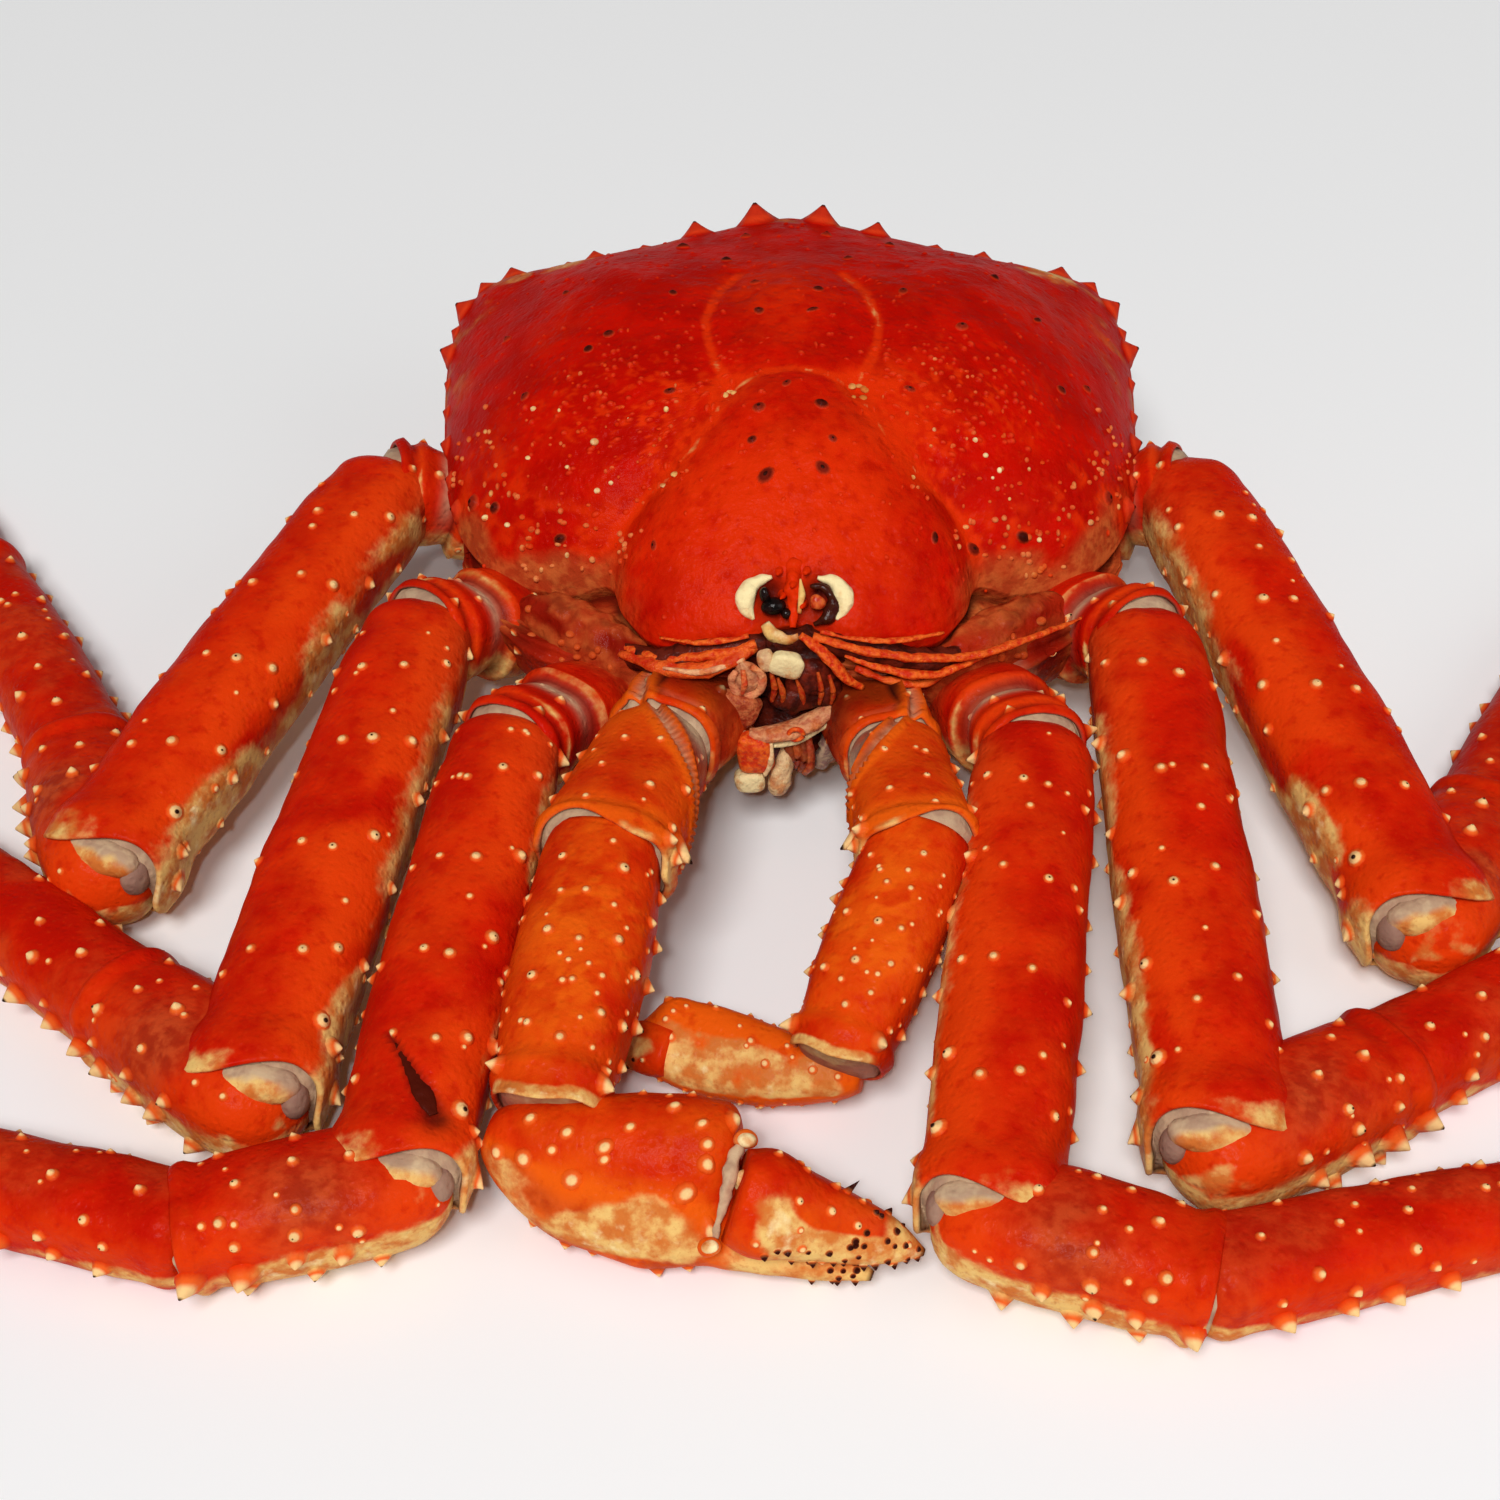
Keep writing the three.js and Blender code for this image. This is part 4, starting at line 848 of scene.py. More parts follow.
    def clad(self, pot, rim=True):
        """Adds the segment's skin, and at an open end its rim and the soft skin that bulges out of it."""
        rows = max(10, int(self.length / STEP))
        cols = int(2 * math.pi * self.half.mean() / STEP)
        t, a = np.meshgrid(np.linspace(0, 1, rows), turns(cols), indexing="ij")
        degrees = np.degrees(a)
        cut = sum(depth * hump_round(degrees, centre, width) for centre, width, depth in CUTS[self.kind])
        cut = cut * self.size / self.length
        t = t - cut * rise(0.6, 1, t)
        spur = np.clip(-cut * self.length / self.size / 4, 0, 1) * rise(0.95, 0.995, t + cut)
        points, layers = self.point(t, a), self.tones(t, a)
        layers["pale"] = np.maximum(layers["pale"], spur)
        layers = {name: np.broadcast_to(layers.get(name, 0.0), t.shape) for name in LAYERS}
        if rim:
            turn, cut = a[-1], cut[-1] + np.zeros(cols)
            mm = self.size / self.length  # as a share of the limb's length
            edge = [self.point(1 + mm * past - cut * follow, turn, share) for share, past, follow, _ in RIM]
            edge = np.stack(edge)
            fold = 0.35 * noise(edge, 2.6, self.seed)[..., None] * (edge - self.line(np.ones(1))[0])
            skin = vec(RIM)[:, 3:]
            edge = edge + 0.12 * fold * skin[..., None]
            points = np.concatenate([points, edge])
            rim_tones = {name: np.repeat(value[-1:], len(RIM), 0) for name, value in layers.items()}
            rim_tones["skin"] = np.broadcast_to(skin, edge.shape[:2])
            rim_tones["dull"] = 0.35 * rim_tones["skin"]
            if self.kind == "claw_carpus":
                rim_tones["dull"] = 0.9 * rim_tones["skin"]
                rim_tones["skin"] = 0.6 * rim_tones["skin"]
            pale_rim = (1 - skin) * 0.6 * rise(150, 185, np.degrees(turn)) * rise(330, 250, np.degrees(turn))
            rim_tones["pale"] = np.maximum(rim_tones["pale"], pale_rim)
            # a dark ring where the rim's lip meets the soft skin: painted shade in that crease
            rim_tones["dark"] = np.maximum(rim_tones["dark"], 0.85 * hump(skin, 0.5, 0.2))
            layers = {name: np.concatenate([layers[name], rim_tones[name]]) for name in LAYERS}
        pot.sleeves(points, layers, start=True, end=True)

    def stud(self, pot):
        """Adds the rows of spines and the strewn knobs."""
        draw = np.random.default_rng(1000 + self.seed)
        places = []
        for row, (angle, first, last, count, height) in enumerate(SPINE_ROWS[self.kind]):
            for i in range(count):
                t = first + (last - first) * (i + 0.5 * (row % 2)) / max(1, count - 0.5)
                t += draw.uniform(-0.02, 0.02)
                tall = height * draw.uniform(0.65, 1.2)
                at = angle + draw.uniform(-6, 6)
                places.append((t, at, tall, 0.7 * tall + 0.8, 0.7, draw.uniform(-0.3, 0.8)))
        for _ in range(KNOBS[self.kind]):
            t, at = draw.uniform(0.06, 0.92), draw.uniform(-40, 215)
            tall = draw.uniform(0.35, 0.9)
            places.append((t, at, tall, tall * 1.3 + 0.5, 0.2, 0.0))
        if self.kind == "claw_palm":
            places = [place for place in places if place[0] < 0.6 and not 20 < place[1] < 160]
            places += [(t, at, 0.7 * tall, 0.75 * tall + 1, 0.3, 0.0) for t, at, tall in PALM_BUMPS]
        places = vec(places)
        high = self.section(places[:, 0], np.radians(places[:, 1]))[:, 2] > 2.5  # clear of the table
        t, at, tall, radius, sharp, stain = places[high].T
        thorns(pot, self, t, np.radians(at), tall * self.size, radius * self.size, 0.35, sharp, stain)

    def spikes(self, pot, rows):
        for t, at, tall, radius, lean, stain in rows:
            thorns(pot, self, vec([t]), np.radians(vec([at])), tall, radius, lean, 1, stain)

    def scar(self, pot):
        """Lays the dark bottom of the wound."""
        (t0, a0), (t1, a1) = self.wound
        k = np.linspace(0.1, 1, 6)
        bottom = self.point(t0 + k * (t1 - t0), np.radians(a0 + k * (a1 - a0))) + UP * 0.3
        rod(pot, bottom, [0.3, 0.9, 1.5, 2.2, 2.4, 1.2], {"dark": 0.95, "warm": 0.8}, 0.35, 0.4, 95)

    def knee(self, pot):
        """The soft skin in the inner half of a knee: a pad, a lobe at its inner end, greyer and mauve with
        painted shade, and two folds.
        """
        end, along = self.line(np.array(1.0))
        side = unit(np.cross(along, UP)) * self.outer
        axes = np.stack([side, along, np.cross(side, along) * self.outer])
        wide, deep = self.half

        def spot(out, ahead, up):
            return end + vec((out, ahead, up)) @ axes

        def grey(p):
            ahead = (p @ axes.T)[..., 1] + 1.2 * noise(p, 3, self.seed)
            dull = 0.25 + 0.2 * rough(p, 7, self.seed)
            return {"skin": rise(3.2, 0.8, ahead), "dull": dull, "pale": 0.85, "warm": 1}

        pad = spot(-0.16 * wide, 3, 0.66 * deep)
        blob(pot, pad, vec((0.62 * wide, 5.2, 4.6)) * self.size, grey, self.seed, 0.5, axes)
        # the lobe's grey-mauve is painted shade at the knee's inner end
        lobe = spot(-0.74 * wide, 3.4, 0.34 * deep)
        blob(pot, lobe, vec((3.2, 4.4, 5)) * self.size, {"skin": 1, "dull": 0.95}, self.seed + 1, 0.3, axes)
        for ahead, drop, tone in ((6.4, 0, 0.8), (8.4, 0.16, 0.45)):
            path = [spot(out * wide, ahead - 2.5 * abs(out + 0.3), (0.62 - drop - 0.3 * (0.5 - out)) * deep)
                    for out in (0.45, 0.1, -0.25, -0.6)]
            layers = {"pale": tone, "warm": 1, "dull": 0.3}
            rod(pot, path, [0.8, 1.9, 2, 1], layers, 0.8, 0.5, self.seed + 2)

    def teeth(self, pot):
        """Black knobs and stiff bristles along the gripping edge of a finger, and round its tip."""
        draw = np.random.default_rng(300 + self.seed)
        palm = self.kind == "claw_palm"
        first, inner = (0.66, 150) if palm else (0.2, 36)
        t = np.concatenate([np.linspace(first, 0.97, 16), draw.uniform(0.5 * (1 + first), 0.97, 18)])
        angle = np.concatenate([inner + draw.uniform(-18, 22, 16), draw.uniform(0, 180, 18)])
        tall = draw.uniform(0.7, 1.7, len(t)) * self.size
        thorns(pot, self, t, np.radians(angle), tall, 0.6 + 0.42 * tall, 0.1, 0.5, 2.0)


def towards(degrees):
    return vec((math.cos(math.radians(degrees)), math.sin(math.radians(degrees)), 0))


def leg_limbs(name, index):
    """The five segments of a leg. outer says which way round their sections run: 1 on the crab's right."""
    spot = LEGS[name]
    outer = 1 if name.endswith("right") else -1
    root = vec(spot["root"])
    knee, wrist = vec((*spot["knee"], KNEE_HEIGHT)), vec((*spot["wrist"], WRIST_HEIGHT))
    ankle = wrist + towards(spot["heading"]) * PROPODUS_LENGTH
    ankle[2] = ANKLE_HEIGHT
    tip = ankle + towards(spot["heading"] - outer * DACTYLUS_TURN) * DACTYLUS_LENGTH
    tip[2] = TIP_HEIGHT
    thigh = unit(knee - root)
    turned = knee + thigh * CARPUS_OUTSET
    turned[2] = KNEE_HEIGHT - CARPUS_DROP
    ends = {
        "coxa": (vec(spot["hip"]), root + thigh * COXA_OVERLAP),
        "merus": (root, knee + thigh * MERUS_OVERHANG),
        "carpus": (turned - unit(wrist - turned) * CARPUS_BULB, wrist),
        "propodus": (wrist - unit(ankle - wrist) * JOINT_OVERLAP, ankle),
        "dactylus": (ankle - unit(tip - ankle) * JOINT_OVERLAP, tip),
    }
    limbs = []
    for kind, (start, end) in ends.items():
        seed, wound = index * 7 + len(limbs), WOUNDS.get(f"{kind}_{name}")
        limbs.append(Limb(kind, start, end, outer, ARCH[kind], spot["girth"], 0, seed, wound))
    return limbs


def dress_leg(name, index):
    for limb in leg_limbs(name, index):
        pot = Pot()
        limb.clad(pot, rim=limb.kind not in POINTED)
        limb.stud(pot)
        if limb.wound:
            limb.scar(pot)
        limb.spikes(pot, SPIKES.get(limb.kind, ()))
        if limb.kind == "merus":
            limb.knee(pot)
        pot.piece(f"{limb.kind}_{name}_shell", LEG_PAINT, "leg", f"{limb.kind}_{name}")


def dress_hinge(pot):
    """The slit of soft skin between the big palm and its finger, with a ringed knob at both of its ends."""
    rod(pot, [(-14.4, -244.6, 33.0), (-16.4, -249.2, 31.6), (-18.6, -256.6, 27.0), (-21.2, -263.4, 18.0)],
        [0.9, 1.9, 1.4, 0.7], {"skin": 1.0, "dull": 0.1}, 0.8, 0.7, 80)
    for x, y, z, size in ((-13.6, -244.6, 33.4, 1.0), (-22.4, -264.6, 17.6, 0.9)):
        blob(pot, (x, y, z), vec((3.2, 2.4, 2.6)) * size, {"warm": 1.0, "pale": 0.4}, 81, 0.5)
        blob(pot, (x + 0.3, y - 1.3, z + 1.3), vec((2.3, 1.8, 1.8)) * size, {"pale": 1.15}, 82, 0.3)
    blob(pot, (-14.0, -252.4, 26.8), (2.4, 2.0, 3.6), {"pale": 1.1}, 83, 0.3)


def dress_claw(side, index):
    spot = CLAWS[side]
    outer = 1 if side == "right" else -1
    at = {key: vec(value) for key, value in spot.items() if isinstance(value, tuple)}
    arm, forearm = unit(at["elbow"] - at["root"]), unit(at["wrist"] - at["elbow"])
    size, hand = spot["size"], spot["palm_size"]
    ends = {
        "claw_coxa": (at["hip"], at["root"] + arm * COXA_OVERLAP, size, 0),
        "claw_merus": (at["root"], at["elbow"], size, 0),
        "claw_carpus": (at["elbow"] - forearm * JOINT_OVERLAP, at["wrist"], size, 0),
        "claw_palm": (at["palm"], at["pollex"], hand, spot["roll"]),
        "claw_finger": (at["hinge"], at["tip"], hand, spot["roll"]),
    }
    for i, (kind, (start, end, scale, roll)) in enumerate(ends.items()):
        limb = Limb(kind, start, end, outer, 0, scale, roll, 60 + index * 7 + i)
        pot = Pot()
        limb.clad(pot, rim=kind not in POINTED)
        limb.stud(pot)
        limb.spikes(pot, SPIKES.get(kind, ()))
        if kind in POINTED:
            limb.teeth(pot)
        if side == "right" and kind == "claw_palm":
            dress_hinge(pot)
        if side == "right" and kind == "claw_finger":
            limb.spikes(pot, [FINGER_BRISTLE])
        pot.piece(f"{kind}_{side}_shell", CLAW_PAINT, "claw", f"{kind}_{side}")


# ---------------------------------------------------------------- shell

MARGIN_LINE = closed_curve(MARGIN)
SHELL_MIDDLE = vec((0, SHELL_CENTRE_Y, SHELL_UNDER))
RIM_SHARE = 0.1  # the rim takes this much of v past the margin
SHELL_COLS = 420
SHELL_ROWS = (80, 14, 9)  # over the dome, towards the margin, and round the rim
SHELL_KNOBS, GRANULES, SPECKS = 280, 210, 120
# Grooves of the shell, one half: points x, y, then depth and width.
GROOVES = [
    ([(17, -13), (23, -23), (29, -32), (38, -37), (50, -42), (55, -48)], 1.5, 5.5),
    ([(16, 46), (22, 34), (26, 18), (25, 6), (23, -2), (18, -13)], 0.9, 3.2),
    ([(18, -13), (8, -9), (0, -8)], 0.7, 3.0),
    ([(36, -37), (44, -39), (51, -44), (53.5, -51), (50, -62)], 0.8, 2.4),
]
# Cream knots where the grooves meet, one half.
SHELL_SPOTS = [(18.5, -15.5), (16.5, -12), (20.5, -13), (36, -38)]
# Spines of the crown: x, y, height.
CROWN = [
    (-11, 37, 2.6), (8, 31, 2.6), (-10, 19, 2), (6, 19, 2), (-36, 33, 2.2), (34, 34, 2.2), (-55, 17, 2.6),
    (-61, 12, 2.4), (51, 18, 2.6), (76, 38, 2.4), (-80, 3, 2.4), (-36, -12, 2), (34, -12, 2), (81, 7, 2.4),
    (-10, -25, 2.6), (8, -24, 2.6), (-2, -16, 1.8), (-8, -47, 4.2), (8, -45, 3.2), (-12, -36, 1.8),
    (11, -36, 1.8), (-95, -20, 3.4), (-88, -27, 3), (-68, -41, 3), (52, -46, 2.6), (67, -41, 3),
    (94, -20, 3.4), (40, -56, 2), (-40, -58, 2), (-20, 58, 2.2), (18, 60, 2.2), (-70, 52, 2.2),
    (64, 58, 2.2), (-34, 78, 2.6), (32, 80, 2.6), (-88, 40, 2.2), (90, 16, 2.2), (-14, 84, 2.4),
    (12, 86, 2.4),
]
# Wet grains painted pale as highlights: x, y, radius.
GLINT_GRAINS = [
    (-77, -4, 1.2), (-37, -18, 1), (-58, -23, 1.4), (-57, -35, 1.2), (-53, -34, 1), (-69, -9, 0.8),
    (-48, -19, 0.8), (-78, -20, 0.9), (-66, -27, 0.8), (56, -27, 1), (60, -30, 1.1), (58, -32, 0.8),
    (53, -24, 0.9), (63, -35, 0.8), (41, -23, 0.9), (69, -27, 0.8), (-91, -27, 1.5), (-84, -33, 1.2),
    (-66, -44, 1.1), (88, -30, 1.4), (72, -40, 1.1),
]
# Spines of the margin, one half: share of the way round from the front, height.
MARGIN_SPINES = [
    (0.486, 6.8), (0.457, 5), (0.431, 1.2), (0.407, 3.6), (0.392, 1.4), (0.3665, 5.2), (0.351, 2.8),
    (0.337, 5), (0.322, 1.6), (0.308, 4.2), (0.284, 1.2), (0.262, 1.4), (0.24, 2.6), (0.214, 1.4),
    (0.196, 2.6),
]


def groove_depth(x, y):
    """How deep the grooves run at x, y, and how near each place is to one."""
    depth, near = np.zeros_like(x), np.zeros_like(x)
    for points, deep, width in GROOVES:
        points = vec(points)
        best = np.full(x.shape, 1e9)
        for a, b in zip(points[:-1], points[1:]):
            ab = b - a
            k = np.clip(((np.abs(x) - a[0]) * ab[0] + (y - a[1]) * ab[1]) / (ab @ ab), 0, 1)
            best = np.minimum(best, np.hypot(np.abs(x) - a[0] - k * ab[0], y - a[1] - k * ab[1]))
        depth += deep * hump(best, 0, width)
        near = np.maximum(near, hump(best, 0, 1.3))
    return depth, near


def patch(x, y, at_x, at_y, width, stretch=1.0):
    """A round patch on the shell, longer along it by stretch."""
    return hump(np.hypot(x - at_x, (y - at_y) / stretch), 0, width)


# Middle line of the rostrum, the small spines on it, and the crescent of pale skin round the left eye.
ROSTRUM = [(-0.5, -66, 74.6), (-0.6, -72, 73.2), (-0.4, -77, 69.6), (-0.6, -82.4, 64.6)]
ROSTRUM_BARBS = [
    (-4.4, -70.6, 75.2), (3.4, -70.4, 75.4), (-0.4, -74, 73.4), (-3.4, -75.6, 70.4), (2.4, -77.4, 68.6),
]
ORBIT = [
    (6.4, -71.4, 74), (11, -72.4, 73), (13.8, -75.1, 70.8), (13.6, -77.6, 67.9), (11.6, -79.8, 65.4),
]


class Shell:
    """The carapace over u, the share of the way round its margin, and v, from its middle to past the rim."""

    def plan(self, u, v):
        """The margin at u, the share of the way out to it, and x, y."""
        m = on_closed(MARGIN_LINE, u)
        r = np.minimum(v, 1)
        x, y = m[..., 0] * r, SHELL_CENTRE_Y + (m[..., 1] - SHELL_CENTRE_Y) * r
        return m, r, x, y

    def inside(self, u, v):
        return np.broadcast_to(SHELL_MIDDLE - UP * 20, (*np.shape(u), 3))

    def point(self, u, v):
        m, r, x, y = self.plan(u, v)
        front = np.minimum(0, y - CROWN_Y) / (CROWN_Y - MARGIN[0][1])
        back = np.maximum(0, y - CROWN_Y) / (MARGIN[-1][1] - CROWN_Y)
        crown = SHELL_TOP - FRONT_DROP * front**2 - BACK_DROP * back**2
        for lx, ly, rx, ry, height in LOBES:
            for side in (1, -1)[: 1 + (lx > 0)]:
                crown = crown + height * np.exp(-(((x - side * lx) / rx) ** 2) - ((y - ly) / ry) ** 2)
        z = m[..., 2] + (crown - m[..., 2]) * (1 - r ** SHELL_BULGE[0]) ** SHELL_BULGE[1]
        flat = np.stack([x, y, z], -1)
        depth, _ = groove_depth(x, y)
        top = rise(1.0, 0.9, r)
        relief = 0.5 * noise(flat, 12, 5) + 0.36 * noise(flat, 5.2, 6) + 0.2 * noise(flat, 2.4, 7)
        relief = relief * (0.35 + 0.65 * top)
        z = z + relief - depth * top
        eyes = [np.linalg.norm(np.stack([x - side * 7, y + 76, z - 68.5], -1), axis=-1) for side in (1, -1)]
        y = y + 4.2 * (hump(eyes[0], 0, 5.5) + hump(eyes[1], 0, 5.5))
        over = np.clip((v - 1) / RIM_SHARE, 0, 1) * math.pi
        outward = unit(m * [1, 1, 0] - [0, SHELL_CENTRE_Y, 0])
        proud = 0.6 + 1.0 * rise(-30, 10, m[..., 1])
        bulge = (proud * np.sin(over) - 2.2 * (1 - np.cos(over)))[..., None] * outward
        z = z - RIM_DEPTH / 2 * (1 - np.cos(over))
        return np.stack([x, y, z], -1) + bulge

    def tones(self, u, v):
        _, r, x, y = self.plan(u, v)
        flat = self.point(u, v)
        blotch = rough(flat, 22, 11)
        _, seam = groove_depth(x, y)
        streak = rough(flat * [1.6, 0.5, 1], 7, 25)
        out = np.abs(x)
        warm = 0.14 + 0.2 * blotch + (0.75 + 0.3 * streak) * patch(x, y, 0, -58, 34, 1.1) + 0.9 * seam
        warm = warm + 0.7 * patch(out, y, 30, -16, 12) * rise(-0.2, 0.8, rough(flat, 3.4, 19))
        warm = warm + 0.3 * patch(x, y, 0, 26, 22) + 0.3 * patch(out, y, 30, -22, 12, 1.4)
        back = 0.7 * hump(out, 80, 28) * rise(66, 88, y) * rise(0.35, -0.4, rough(flat, 14, 13))
        pale = back + 0.5 * seam * rise(-0.2, 0.5, noise(flat, 3, 15)) * rise(60, 40, np.abs(y))
        warm = warm + 0.8 * sum(patch(out, y, *spot, 4) for spot in SHELL_SPOTS)
        under = rise(1.02, 1.08, v)
        edge = r + 0.035 * rough(flat, 11, 16) - 0.06 * rise(-30, 0, y)
        low = rise(0.94, 0.99, edge) * rise(36, 0, y) * rise(40, 60, out)
        speckle = rise(-0.1, 0.5, noise(flat, 3.2, 17)) * rise(0.8, 0.9, r)
        speckle = speckle * rise(10, -16, y) * rise(36, 56, out)
        pale = pale + 0.3 * low * rise(0, 0.7, noise(flat, 6, 18))
        warm = warm + 0.5 * speckle * (1 - low)
        lobes = patch(out, y, 56, -6, 24, 0.9) + patch(out, y, 38, -24, 14)
        warm = warm + 0.6 * lobes * rise(0, 0.9, noise(flat, 2.2, 20) + 0.7 * noise(flat, 1.1, 21))
        dulled = 0.9 * rise(0.8, 0.9, edge) * rise(16, 50, y) * rise(0.0, 0.5, rough(flat * [1, 1.6, 1], 9, 24))
        # the shell is darkened round the eyes: painted shade in the eye sockets
        eye_gap = np.hypot(out - 7, y + 76)
        return {"warm": warm, "pale": np.clip(pale, 0, 1), "dark": 0.9 * hump(eye_gap, 0, 5),
                "dull": np.clip(0.85 * low + 0.8 * under + dulled, 0, 1)}

    def locate(self, x, y):
        """u and v of the place x, y on the shell."""
        turn = np.unwrap(np.arctan2(MARGIN_LINE[:, 0], SHELL_CENTRE_Y - MARGIN_LINE[:, 1]))
        wanted = np.arctan2(x, SHELL_CENTRE_Y - y) % (2 * math.pi)
        u = np.interp(wanted, turn, np.arange(len(turn)) / len(turn))
        m = on_closed(MARGIN_LINE, u)
        return u, np.hypot(x, y - SHELL_CENTRE_Y) / np.hypot(m[..., 0], m[..., 1] - SHELL_CENTRE_Y)


def strew_grains(pot, shell, draw):
    """Wet grains on both lobes painted pale as their highlights, cream knots where the grooves meet, and
    lighter
    specks round them: pimples partly painted lighter as glints.
    """
    for x, y, radius in GLINT_GRAINS:
        place = shell.point(*shell.locate(vec(x), vec(y)))
        blob(pot, place, radius * draw.uniform(0.6, 1.0, 3), {"pale": 1.1}, rings=7, sides=10)
    for x, y in SHELL_SPOTS * 3:
        near = vec((x, y)) * (draw.choice((-1, 1)), 1) + 1.3 * draw.normal(size=2)
        blob(pot, shell.point(*shell.locate(*near)), (1.3, 1.3, 0.6) * draw.uniform(0.6, 1.2, 3),
             {"warm": 1.0, "pale": draw.uniform(0.6, 1.1)}, 72, 0.4, rings=7, sides=10)
    # lighter orange specks on the lobes and along the margin: pimples, their lightness partly a painted
    # highlight of the wet shell
    side = np.where(np.arange(SPECKS) % 2, 1, -1)
    x, y = side * (58 + 16 * draw.normal(size=SPECKS)), -22 + 14 * draw.normal(size=SPECKS)
    for place in shell.point(*shell.locate(x, np.clip(y, -52, 30))):
        blob(pot, place, draw.uniform(0.4, 0.9, 3), {"warm": 1.4, "pale": 0.42}, rings=6, sides=8)
    u, v = 0.5 + side * draw.uniform(0.27, 0.41, SPECKS), draw.uniform(0.87, 0.995, SPECKS)
    for place in shell.point(u, v):
        blob(pot, place, draw.uniform(0.6, 1.2, 3), {"warm": 1.4, "pale": 0.5}, rings=6, sides=8)


def dress_brow(pot):
    """The rostrum with its small spines and its pale underside, and the pale crescents round the eyes."""
    rod(pot, ROSTRUM, [2.9, 2.4, 1.6, 0.7], {"warm": 1.2, "pale": 0.22}, seed=74, lumps=1.1)
    rod(pot, [(1.6, -72.6, 74.2), (1.8, -76.4, 71.6), (1.2, -79.8, 67.6)], [0.5, 0.9, 0.4], {"pale": 0.8},
        seed=77, lumps=0.4)
    for x, y, z in ROSTRUM_BARBS:
        rod(pot, [(x, y + 3, z - 1.4), (x, y, z + 0.2), (x - 0.6, y - 2.2, z + 0.8)], [1.4, 1.0, 0.4],
            {"warm": 1.2, "pale": 0.2}, seed=75, lumps=0.4)
    rod(pot, [(-8.4, -81.8, 65.4), (-6.2, -83, 62.4), (-2.6, -83.4, 61.4), (1, -83.2, 62.6)],
        [1.3, 1.9, 1.9, 0.8], {"pale": 1.05}, lumps=0.5, seed=75)
    for side in (1, -1):
        rod(pot, vec(ORBIT) * [side, 1, 1], [0.7, 2.1, 2.9, 2.3, 0.6], {"pale": 1.25}, 0.85, 0.35, 76)


def dress_carapace():
    shell, pot = Shell(), Pot()
    dome, margin, rim = SHELL_ROWS
    v = np.concatenate([np.linspace(0.012, 0.9, dome), np.linspace(0.908, 1, margin),
                        np.linspace(1.01, 1 + RIM_SHARE, rim)])
    v, u = np.meshgrid(v, np.arange(SHELL_COLS) / SHELL_COLS, indexing="ij")
    points, layers = shell.point(u, v), shell.tones(u, v)
    under = [SHELL_MIDDLE + (points[-1] - SHELL_MIDDLE) * share for share in (0.9, 0.7, 0.4, 0.1)]
    points = np.concatenate([points, under])
    layers = {name: np.concatenate([x, np.repeat(x[-1:], len(under), 0)]) for name, x in layers.items()}
    pot.sleeves(points, layers, start=True, end=True)

    draw = np.random.default_rng(3)
    x, y, tall = vec(CROWN).T
    u, v = shell.locate(x, y)
    tall = tall * draw.uniform(0.7, 1.2, len(tall))
    thorns(pot, shell, u, v, 0.5 * tall, tall * 0.5 + 1.1, 0.0, 0.4, draw.uniform(1.5, 2.0, len(tall)))

    u, tall = np.tile(vec(MARGIN_SPINES), (2, 1)).T
    half = np.arange(len(u)) < len(MARGIN_SPINES)
    u = np.where(half, u, 1 - u) + draw.uniform(-0.002, 0.002, len(u))
    tall = tall * draw.uniform(0.8, 1.15, len(u))
    thorns(pot, shell, u, np.full(len(u), 0.992), 0.85 * tall + 0.6, tall * 0.7 + 2.6, 0.0, 1.0, 0.6)

    u, v = draw.uniform(0, 1, SHELL_KNOBS), np.sqrt(draw.uniform(0.01, 0.94, SHELL_KNOBS))
    tall = draw.uniform(0.2, 0.5, SHELL_KNOBS)
    thorns(pot, shell, u, v, tall, tall + 0.6, 0.0, 0.1, -1.8)
    # granules over the wet lobes and the grooves beside them
    side = np.where(np.arange(GRANULES) % 2, 1, -1)
    x, y = side * (46 + 17 * draw.normal(size=GRANULES)), -8 + 15 * draw.normal(size=GRANULES)
    u, v = shell.locate(x, y)
    tall = draw.uniform(0.3, 0.8, GRANULES)
    thorns(pot, shell, u, v, tall, 1.1 * tall + 0.7, 0.0, 0.1, -1.6)

    strew_grains(pot, shell, draw)
    dress_brow(pot)
    pot.piece("carapace_shell", SHELL_PAINT, "shell", "carapace")


# ---------------------------------------------------------------- body and abdomen

CHEEK_LINE = closed_curve(CHEEK)
BODY_COLS, BODY_ROWS, BODY_KNOBS = 320, 64, 90
CHEEK_RADII = (29, 9, 15)
PLATES = 6.5  # of the abdomen that show
ABDOMEN_SIDES, ABDOMEN_ROWS, ABDOMEN_GRAINS = 64, 140, 70
HIPS = [spot["hip"] for spot in (*LEGS.values(), *CLAWS.values())]


